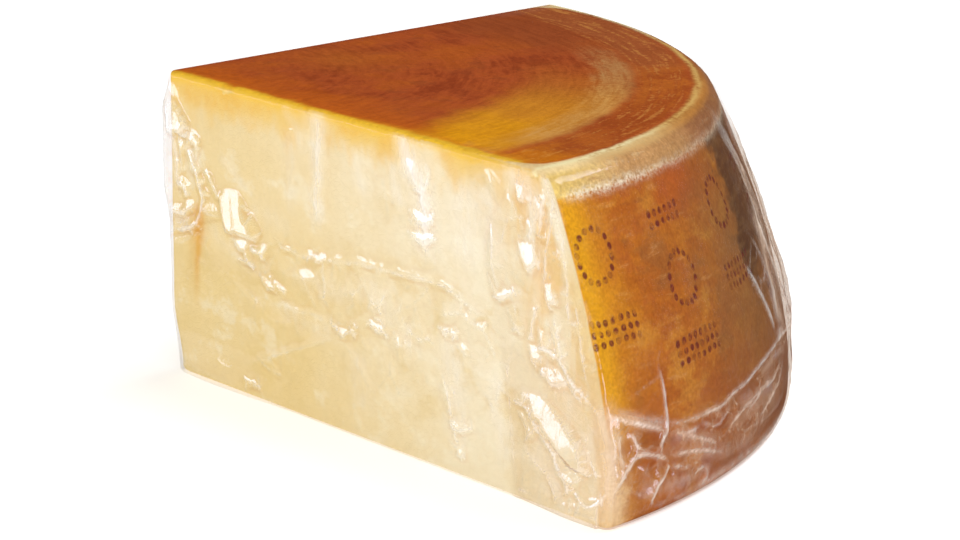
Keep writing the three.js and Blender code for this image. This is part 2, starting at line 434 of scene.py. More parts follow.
def cheese_material():
    mat = bpy.data.materials.new("hard_cheese")
    n = Nodes(mat)
    x, y, z, p = n.object_mm()
    r = n.math("SQRT", x * x + y * y)
    az = n.math("ARCTAN2", y, x) * (180 / math.pi)
    d_plate = (HEIGHT - FILM_GAP) - z
    d_side = side_radius_nodes(n, z) - FILM_GAP - r
    d = n.math("MINIMUM", d_plate, d_side)

    big = n.noise(p, 0.020, 3.0, 0.55) - 0.5
    mid = n.noise(p, 0.065, 4.0, 0.6) - 0.5
    fine = n.noise(p, 0.55, 4.0, 0.65) - 0.5
    grain = n.noise(p, 1.9, 3.0, 0.6) - 0.5

    # ---- paste: straw yellow, mottled, warmer towards the rind
    # paler towards the rind and higher up: painted sheen, the film's whitish reflection over the paste
    upward = n.step(20, 95, z + big * 60)
    paste = n.mix(n.step(-0.10, 0.22, big + mid * 0.7), PASTE, PASTE_WARM)
    paste = n.mix(n.step(60, 185, x + y + big * 70 + upward * 45) * 0.85, paste, PASTE_PALE)
    blotches = n.noise(n.vector(x, y, z * 1.25), 0.048, 4.0, 0.62) - 0.5
    paste = n.mix(n.step(0.01, 0.13, blotches) * (0.22 + n.hump(z, 42.0, 24.0) * 0.38), paste, (0.81, 0.61, 0.275))
    paste = n.mix(n.step(-0.03, -0.15, blotches) * 0.45, paste, (0.95, 0.86, 0.64))
    flakes = n.voronoi(n.vector(x * 1.0, y * 1.0, z * 1.25), 0.42, feature="DISTANCE_TO_EDGE")
    paste = n.mix(n.step(0.07, 0.0, flakes) * n.step(0.02, 0.2, mid) * 0.22, paste, (0.78, 0.54, 0.22))
    # upright orange-yellow streaks beside the rind: painted light, the rind's colour seen through the film's folds
    upright_streak = n.noise(n.vector(x * 0.9, y * 0.9, z * 0.16), 0.14, 3.0, 0.6) - 0.5
    beside = n.step(38, 12, d_side) * n.step(-0.12, 0.07, upright_streak + mid * 0.35)
    paste = n.mix(beside * (0.30 + n.step(25, 75, z) * 0.52), paste, (0.89, 0.60, 0.24))
    paste = n.mix(n.step(13.0, 5.0, d_side + mid * 9) * n.step(30, 50, z + mid * 30) * 0.45, paste, (0.84, 0.60, 0.27))
    paste = n.mix(n.step(6.0, 3.0, d_side + mid * 5) * 0.8, paste, n.mix(n.step(22, 62, z + mid * 30), (0.80, 0.54, 0.26), n.mix(n.step(70, 88, z + mid * 20), (0.86, 0.66, 0.33), (0.93, 0.84, 0.60))))
    crack_x = x - 17.2 + (60.0 - z) * 0.075 + mid * 3.0
    crack_x = crack_x * (1.0 - n.step(42, 52, z) * 0.45)
    crack_ends = n.step(22, 50, z) * n.step(64, 58, z) * n.step(6, 2, y)
    paste = n.mix(n.hump(crack_x, -1.6, 3.2) * crack_ends * 0.60, paste, (0.80, 0.52, 0.17))
    paste = n.mix(n.hump(crack_x, 0.0, 1.5) * crack_ends * 0.85, paste, (0.79, 0.42, 0.075))
    specks = n.step(0.16, 0.06, n.voronoi(p, 0.30)) * n.step(-0.05, 0.15, mid)
    paste = n.mix(specks * 0.30, paste, (0.93, 0.86, 0.68))
    paste = n.blend("MULTIPLY", 1.0, paste, n.mix(n.step(-0.35, 0.35, fine), (0.955, 0.94, 0.90), (1.0, 1.0, 1.0)))
    hang = n.noise(n.vector(x * 1.0, y * 1.0, z * 0.60), 0.085, 4.0, 0.62) - 0.5
    sub_depth = 15.5 + hang * 30.0 + mid * 14.0 + n.step(70, 20, x + y) * 2.0
    under = n.step(0.0, 1.0, (1.0 - (d_plate - 0.8) / n.math("MAXIMUM", sub_depth, 6.0)) * 1.18)
    # the stained layer is left out in two upright bands, about 79 and 131 mm from the tip, as painted highlight under
    # the film's soft upright highlights, and it thins out towards the rind's corner
    along = n.math("MAXIMUM", x, y) + mid * 14.0
    thin_and_highlit = n.math("ADD", n.hump(along, 79.0, 9.0) * 0.55 + n.hump(along, 131.0, 9.0) * 0.80, n.step(140, 176, along) * 0.45 + n.step(158, 176, along) * 0.45, clamp=True)
    paste = n.mix(under * (1.0 - thin_and_highlit), paste, n.mix(n.step(-0.10, 0.14, mid + fine * 0.4), (0.86, 0.56, 0.12), UNDER_RIND))
    paste = n.mix(n.step(3.8, 0.8, d_plate + fine * 1.6 + mid * 5.0) * (0.92 - thin_and_highlit * 0.45), paste, EDGE_LINE)

    # ---- the plate
    wander = big * 26 + mid * 9
    # fine streaks that run round the wheel, left by wiping and turning
    streak = n.noise(n.vector(r * 1.0, az * 0.30, 0.0), 0.42, 4.0, 0.62, 0.4) - 0.5
    cloth = n.noise(n.vector(x * 0.25 + y * 0.25, (y - x) * 1.2, 0.0), 0.55, 3.0, 0.6) - 0.5
    blotch = n.noise(n.vector(x, y, 4.0), 0.034, 4.0, 0.62) - 0.5
    plate = n.mix(n.step(-0.06, 0.16, blotch + cloth * 0.12) * 0.75, PLATE_RED, (0.52, 0.115, 0.013))
    plate = n.mix(n.step(-0.01, -0.16, blotch + streak * 0.3) * 0.85, plate, (0.33, 0.055, 0.012))
    stains = n.noise(n.vector(x, y, 9.0), 0.085, 5.0, 0.7) - 0.5
    plate = n.mix(n.step(0.03, 0.16, stains) * 0.5, plate, (0.30, 0.062, 0.015))
    plate = n.mix(n.step(104, 136, y + wander) * n.step(96, 40, x + wander * 0.6) * 0.85, plate, PLATE_DARK)
    plate = n.mix(n.hump(x + wander * 0.5, 24.0, 20.0) * n.hump(y + wander * 0.5, 58.0, 16.0) * 0.6, plate, (0.51, 0.135, 0.016))
    plate = n.mix(n.step(30, 4, y + mid * 30 + blotch * 40) * 0.85, plate, PLATE_ORANGE)
    ochre = n.step(112, 128, r + wander) * n.step(160, 153, r + mid * 4) * n.step(60, 22, az + big * 14)
    plate = n.mix(ochre * 0.95, plate, n.mix(n.step(26, 3, az + blotch * 30), n.mix(n.step(24, 44, az), PLATE_OCHRE, (0.56, 0.185, 0.020)), PLATE_GOLD))
    ragged_r = r + mid * 8 + streak * 7 + fine * 4
    pale = n.step(142, 152, ragged_r) * n.step(162.0, 156.5, ragged_r) * n.step(1, 15, az) * n.step(70, 52, az + mid * 14)
    plate = n.mix(pale * (0.70 + streak * 1.8 + fine * 1.2), plate, n.mix(n.step(30, 52, az), PLATE_PALE, (0.50, 0.235, 0.070)))
    outer = n.step(157.5, 163, ragged_r) * n.step(181.5, 175, r + mid * 5 + streak * 5)
    ring = n.mix(n.step(-0.10, 0.10, streak + mid * 0.8), (0.56, 0.150, 0.018), (0.42, 0.090, 0.013))
    ring = n.mix(n.hump(az, 23.0, 9.0) * 0.6, ring, (0.36, 0.062, 0.010))
    ring = n.mix(n.step(12, 2, az + mid * 12), ring, (0.66, 0.20, 0.007))
    ring = n.mix(n.step(46, 62, az + blotch * 30), ring, (0.40, 0.105, 0.026))
    ring = n.mix(n.step(0.04, 0.16, streak + fine * 0.5) * 0.45, ring, (0.70, 0.32, 0.06))
    plate = n.mix(outer * 0.90, plate, ring)
    worn_edge = n.mix(n.step(14, 30, az + mid * 8), n.mix(n.step(-0.10, 0.12, streak + fine * 0.6), (0.80, 0.57, 0.22), (0.70, 0.45, 0.155)), n.mix(n.step(40, 60, az + blotch * 30), (0.60, 0.29, 0.055), (0.34, 0.110, 0.028)))
    plate = n.mix(n.step(178.4, 180.4, r + mid * 3.0 + fine * 0.8) * (0.92 - n.step(16, 34, az) * 0.22), plate, worn_edge)
    narrow = n.step(130, 80, x + mid * 30)
    plate = n.mix(n.step(9.0, 4.0, y + mid * 9 + fine * 3 + narrow * 3.0) * 0.80 * n.step(176, 171, r), plate, (0.76, 0.27, 0.011))
    plate = n.mix(n.step(5.4, 2.2, y + mid * 7 + fine * 3 + narrow * 1.2) * 0.9 * n.step(178, 173, r), plate, (0.90, 0.54, 0.034))
    # its colour ends in a rounded corner, with cream between it and the corner of the piece
    c1 = n.math("MAXIMUM", 15.0 - n.math("MINIMUM", x, y), 0.0)
    c2 = n.math("MAXIMUM", 15.0 - (180.0 - r), 0.0)
    corner_gap = 15.0 - n.math("SQRT", c1 * c1 + c2 * c2)
    near_corner = n.step(9.0, 3.5, n.math("MINIMUM", az, 90.0 - az) + mid * 4) * n.step(148, 166, n.math("MAXIMUM", x, y))
    plate = n.mix(n.step(1.9, 0.3, corner_gap + mid * 3 + fine * 1.2) * near_corner * 0.92, plate, (0.90, 0.68, 0.30))
    plate = n.mix(n.step(8, 0, x + mid * 8) * 0.5, plate, (0.33, 0.050, 0.013))
    plate = n.blend("MULTIPLY", 1.0, plate, n.mix(n.step(-0.22, 0.22, streak * 0.8 + fine * 0.8 + stains * 0.5), (0.87, 0.84, 0.92), (1.08, 1.12, 1.32)))
    # small pale scuffs
    scuff = n.step(0.66, 0.78, n.noise(n.vector(x * 0.5 + y * 0.5, (y - x) * 2.2, 3.0), 0.30, 5.0, 0.75))
    plate = n.mix(scuff * 0.16, plate, (0.58, 0.32, 0.14))

    # ---- the side
    a = az * (math.pi / 180 * 205.0)
    mirrored = n.math("MINIMUM", az, 90.0 - az)
    turned = n.noise(n.vector(a * 0.35, z * 1.0, 0.0), 0.11, 4.0, 0.6, 0.3) - 0.5
    hammered = n.noise(n.vector(a, z, 7.0), 0.16, 3.0, 0.55) - 0.5
    side = n.mix(n.step(-0.12, 0.12, turned + hammered * 0.6), RIND_BASE, RIND_LIGHT)
    side = n.mix(n.step(0.0, 0.16, hammered + mid * 0.7) * 0.75, side, RIND_RED)
    clouds = n.noise(n.vector(a * 0.6, z, 21.0), 0.055, 5.0, 0.66) - 0.5
    side = n.mix(n.step(0.02, 0.14, clouds) * 0.65, side, (0.33, 0.118, 0.026))
    side = n.mix(n.step(-0.02, -0.14, clouds) * 0.60, side, (0.66, 0.29, 0.035))
    rubbed = n.noise(n.vector(a * 0.22, z * 1.3, 33.0), 0.30, 5.0, 0.72) - 0.5
    side = n.mix(n.step(0.06, 0.22, rubbed) * 0.55, side, (0.66, 0.33, 0.11))
    side = n.mix(n.step(-0.06, -0.22, rubbed) * 0.50, side, (0.30, 0.095, 0.022))
    side = n.mix(n.hump(mirrored, 19.0, 5.0) * n.step(78, 92, z) * 0.65, side, (0.50, 0.085, 0.012))
    # darker and more olive from about 9° to 30° round the rind: partly its own colour, partly painted shade where less
    # light reaches it
    side = n.mix(n.step(9, 30, mirrored + mid * 12) * (0.80 - n.step(72, 92, z) * 0.40), side, RIND_OLIVE)
    side = n.mix(n.step(27.6, 30.2, mirrored + mid * 7 + clouds * 9) * n.step(44, 66, z + clouds * 50) * n.step(46.0, 38.5, az + mid * 10 + clouds * 12) * 0.84, side, n.mix(n.step(-0.08, 0.08, rubbed), (0.16, 0.080, 0.034), (0.095, 0.040, 0.020)))
    side = n.mix(n.step(29.0, 36.0, mirrored + mid * 6) * 0.35, side, (0.20, 0.080, 0.030))
    side = n.mix(n.step(45, 15, z + mid * 18) * 0.45, side, (0.37, 0.095, 0.026))
    side = n.mix(n.step(8.5, 1.2, mirrored + mid * 6.0) * (0.25 + n.step(34, 64, z) * 0.55), side, (0.73, 0.305, 0.010))
    side = n.mix(n.step(4.4, 1.1, mirrored + mid * 2.6) * (0.55 + n.step(16, 44, z) * 0.40), side, n.mix(n.step(36, 20, z + mid * 20), RIND_YELLOW, (0.74, 0.40, 0.11)))
    side = n.mix(n.step(2.6, 0.7, mirrored + mid * 5.0 + rubbed * 1.6) * n.step(38, 24, z + mid * 26) * 0.85, side, (0.83, 0.58, 0.30))
    wobble = n.noise(n.vector(a, z, 0.0), 0.20, 3.0, 0.6) - 0.5
    halo_early = n.noise(n.vector(a, z, 2.0), 0.35, 3.0, 0.6) - 0.5
    dots = dotted_marks(n, a, z, n.noise(n.vector(a, z, 0.0), 0.09, 0.0, 0.5) * 3.2 - 1.6)
    wear = n.step(-0.12, 0.10, hammered + fine * 0.9 + halo_early * 0.5)
    side = n.mix(dots * (0.30 + wear * 0.60), side, MARKS)
    halo = n.noise(n.vector(a, z, 2.0), 0.35, 3.0, 0.6) - 0.5
    # the paler band under the plate, and the rough white line that ends it
    line_z = 97.8 + (n.noise(n.vector(a, 0.0, 0.0), 0.09, 4.0, 0.7) - 0.5) * 3.0
    above = n.step(-0.8, 0.8, z - line_z)
    band = n.mix(n.step(9, 0.5, mirrored + mid * 6), n.mix(n.step(20, 29, mirrored + mid * 6), n.mix(n.step(5, 13, mirrored + mid * 6), BAND, (0.58, 0.325, 0.125)), (0.38, 0.165, 0.068)), BAND_YELLOW)
    band = n.mix(n.step(0.02, 0.20, rubbed + clouds * 0.6) * 0.55, band, (0.48, 0.24, 0.085))
    band = n.mix(n.step(-0.04, -0.20, rubbed + fine * 0.4) * (0.50 - n.step(10, 28, mirrored) * 0.30), band, (0.84, 0.66, 0.38))
    band = n.blend("MULTIPLY", 1.0, band, n.mix(n.step(-0.20, 0.20, turned + fine * 0.9), (0.84, 0.80, 0.76), (1.08, 1.08, 1.08)))
    side = n.mix(above * 0.94, side, band)
    ragged = n.noise(n.vector(a, z * 1.4, 5.0), 0.75, 4.0, 0.75) - 0.5
    white = n.hump(z, line_z, 1.5) * n.step(-0.16, 0.10, ragged) * n.step(0.6, 3.5, mirrored)
    side = n.mix(white * (0.90 - n.step(5, 22, mirrored) * 0.50), side, WHITE_LINE)
    side = n.blend("MULTIPLY", 1.0, side, n.mix(n.step(-0.35, 0.35, grain + halo), (0.90, 0.88, 0.86), (1.05, 1.05, 1.05)))

    pores = n.noise(n.vector(a, z, 41.0), 0.85, 3.0, 0.7) - 0.5
    side = n.blend("MULTIPLY", 1.0, side, n.mix(n.step(-0.18, 0.18, pores), (0.88, 0.83, 0.80), (1.09, 1.12, 1.14)))

    # plate to side over the rounded edge, with a bright rim along it: painted highlight of the rounded edge
    onto_plate = n.step(2.4, 0.5, d_plate)
    rind = n.mix(onto_plate, side, plate)
    rim = n.hump(r + mid * 3.0 + fine * 0.8, 180.7, 1.15) * n.step(3.0, 2.0, d_plate)
    rind = n.mix(rim * n.step(-0.3, 0.1, fine + streak) * 0.90, rind, n.mix(n.step(13, 27, mirrored + mid * 8), (0.99, 0.87, 0.50), (0.76, 0.48, 0.15)))

    # the rind starts a little way round the corner from each cut face
    from_cut = n.math("MINIMUM", x, y)
    inner = n.step(1.0, 3.0, from_cut)
    side_skin = 2.3 + n.step(9.0, 2.0, z) * 4.0
    plate_skin = n.mixf(inner, 0.5 + n.step(0.02, 0.20, mid + fine * 0.3) * 3.2, 2.3)
    on_side = n.step(1.9, 2.5, from_cut + mid * 0.8 - n.step(40, 15, z) * 0.4) * n.math("MULTIPLY", side_skin - d_side, 2.5, clamp=True)
    on_plate = n.math("MULTIPLY_ADD", plate_skin - d_plate, 2.5, 0.5, clamp=True)
    is_rind = n.math("MAXIMUM", on_plate, on_side)
    colour = n.mix(is_rind, paste, rind)

    bsdf = n.node("ShaderNodeBsdfPrincipled")
    n.link(colour, bsdf.inputs["Base Color"])
    rough = 0.62 - is_rind * 0.14 + fine * 0.18
    n.link(rough, bsdf.inputs["Roughness"])
    bsdf.inputs["Specular IOR Level"].default_value = 0.16
    bsdf.inputs["Subsurface Weight"].default_value = 0.0
    height = (fine * 0.035 + grain * 0.012) * (1.0 + is_rind * 2.5) + mid * 0.10 + n.math("MULTIPLY", n.mixf(onto_plate, hammered * 0.8 - dots * 0.55, stains * 0.7), is_rind) + n.step(0.09, 0.0, flakes) * (1.0 - is_rind) * -0.10
    bmp = n.node("ShaderNodeBump")
    bmp.inputs["Strength"].default_value = 0.55
    bmp.inputs["Distance"].default_value = 0.001
    n.link(height, bmp.inputs["Height"])
    n.tree.links.new(bmp.outputs[0], bsdf.inputs["Normal"])
    out = n.node("ShaderNodeOutputMaterial")
    n.tree.links.new(bsdf.outputs[0], out.inputs["Surface"])
    return mat


def film_material():
    mat = bpy.data.materials.new("clear_film")
    n = Nodes(mat)
    x, y, z, p = n.object_mm()
    fold = n.attribute("fold")
    layer = n.attribute("layer")
    veil_and_highlight = n.attribute("veil_and_highlight")
    valley = n.attribute("valley")
    mist = n.noise(p, 0.10, 4.0, 0.6) - 0.5
    upright = n.noise(n.vector(x * 1.0, y * 1.0, z * 0.22), 0.30, 4.0, 0.65) - 0.5
    # slight milkiness, stronger where the film is creased, stretched or lies double; its crease ridges and some veils
    # are painted highlights
    streaky = n.math("MULTIPLY", veil_and_highlight, 0.85 + upright * 2.3, clamp=True)
    # thin threads of creased film, which wander where the film lies loose or double
    crumple = n.noise(n.vector(x, y, z * 1.25), 0.085, 4.0, 0.62, 0.9) - 0.5
    crumple_fine = n.noise(n.vector(x, y, z * 1.1), 0.21, 3.0, 0.6, 0.7) - 0.5
    threads = n.step(0.022, 0.004, n.math("ABSOLUTE", crumple)) * 0.8 + n.step(0.030, 0.006, n.math("ABSOLUTE", crumple_fine)) * 0.45
    loose = n.step(0.55, 0.90, layer)
    haze = n.math("ADD", fold * (0.55 + layer * 0.30) + layer * (0.015 + n.step(0.0, 0.13, crumple) * 0.10) + threads * loose * 0.30 + streaky * 0.58, n.step(-0.05, 0.35, mist) * n.step(HEIGHT - 0.4, HEIGHT - 4.0, z) * 0.02, clamp=True)
    clear = n.node("ShaderNodeBsdfTransparent")
    tint = n.mix(layer, (0.985, 0.975, 0.97), (0.885, 0.835, 0.785))
    # the clear film darkens in crease valleys as painted shade, and where it clings on the lower rind
    n.link(n.mix(valley * 0.60, tint, (0.80, 0.63, 0.52)), clear.inputs[0])
    milk = n.node("ShaderNodeBsdfDiffuse")
    n.link(n.mix(layer * (1.0 - fold * 0.85), (0.96, 0.93, 0.90), (0.86, 0.575, 0.375)), milk.inputs[0])
    gloss = n.node("ShaderNodeBsdfGlossy")
    n.link(n.math("ADD", 0.06, n.step(-0.2, 0.5, mist) * 0.10), gloss.inputs["Roughness"])
    gloss.inputs["Color"].default_value = (1, 1, 1, 1)
    fres = n.node("ShaderNodeFresnel")
    fres.inputs["IOR"].default_value = 1.45
    bmp = n.node("ShaderNodeBump")
    bmp.inputs["Strength"].default_value = 0.30
    bmp.inputs["Distance"].default_value = 0.0006
    n.link(mist * 1.0 + upright * 0.6, bmp.inputs["Height"])
    n.tree.links.new(bmp.outputs[0], gloss.inputs["Normal"])
    n.tree.links.new(bmp.outputs[0], fres.inputs["Normal"])
    m1 = n.node("ShaderNodeMixShader")
    n.link(haze, m1.inputs[0])
    n.tree.links.new(clear.outputs[0], m1.inputs[1])
    n.tree.links.new(milk.outputs[0], m1.inputs[2])
    m2 = n.node("ShaderNodeMixShader")
    # the mirror part stays weak at grazing angles, where soft film lets the light behind it through
    mirror = n.math("MINIMUM", S(n, fres.outputs[0]) * 1.25, 0.13)
    n.link(n.math("MULTIPLY", mirror, (1.0 + layer * 0.3) * (0.14 + n.step(HEIGHT - 1.6, HEIGHT - 6.0, z) * 0.86), clamp=True), m2.inputs[0])
    n.tree.links.new(m1.outputs[0], m2.inputs[1])
    n.tree.links.new(gloss.outputs[0], m2.inputs[2])
    out = n.node("ShaderNodeOutputMaterial")
    n.tree.links.new(m2.outputs[0], out.inputs["Surface"])
    return mat


def make_cheese():
    step = 1.25
    n_front = int(205 / step)
    steps = (6, n_front, 6, int(325 / (step * 1.15)), 6, n_front)
    zs = levels(step)
    P, N, G = grid(steps, zs, FILM_GAP)
    P[..., 2] = FILM_GAP + P[..., 2] * (HEIGHT - 2 * FILM_GAP) / HEIGHT
    # the wheel isn't quite even, and the cut faces are a little rough
    rough = 0.30 + 0.70 * (G == RIND)[None, :]
    relief = 0.35 * noise(P / 34.0) + (0.16 * noise(P / 9.0 + 7) + 0.07 * noise(P / 3.2 + 3)) * rough
    z = P[..., 2]
    keep = smooth(0.5, 3.5, z) * smooth(0.2, 2.5, HEIGHT - z)
    P = P + N * ((relief - 0.25) * keep)[..., None]

    def top(ring):
        return 0.22 * noise(ring / 30.0) + 0.09 * noise(ring / 8.0 + 5) - 0.18

    verts, faces = close_loft(P, 28, top_fn=top)
    ob = mesh_object("cheese_wedge", to_world(verts), faces, cheese_material())
    return ob
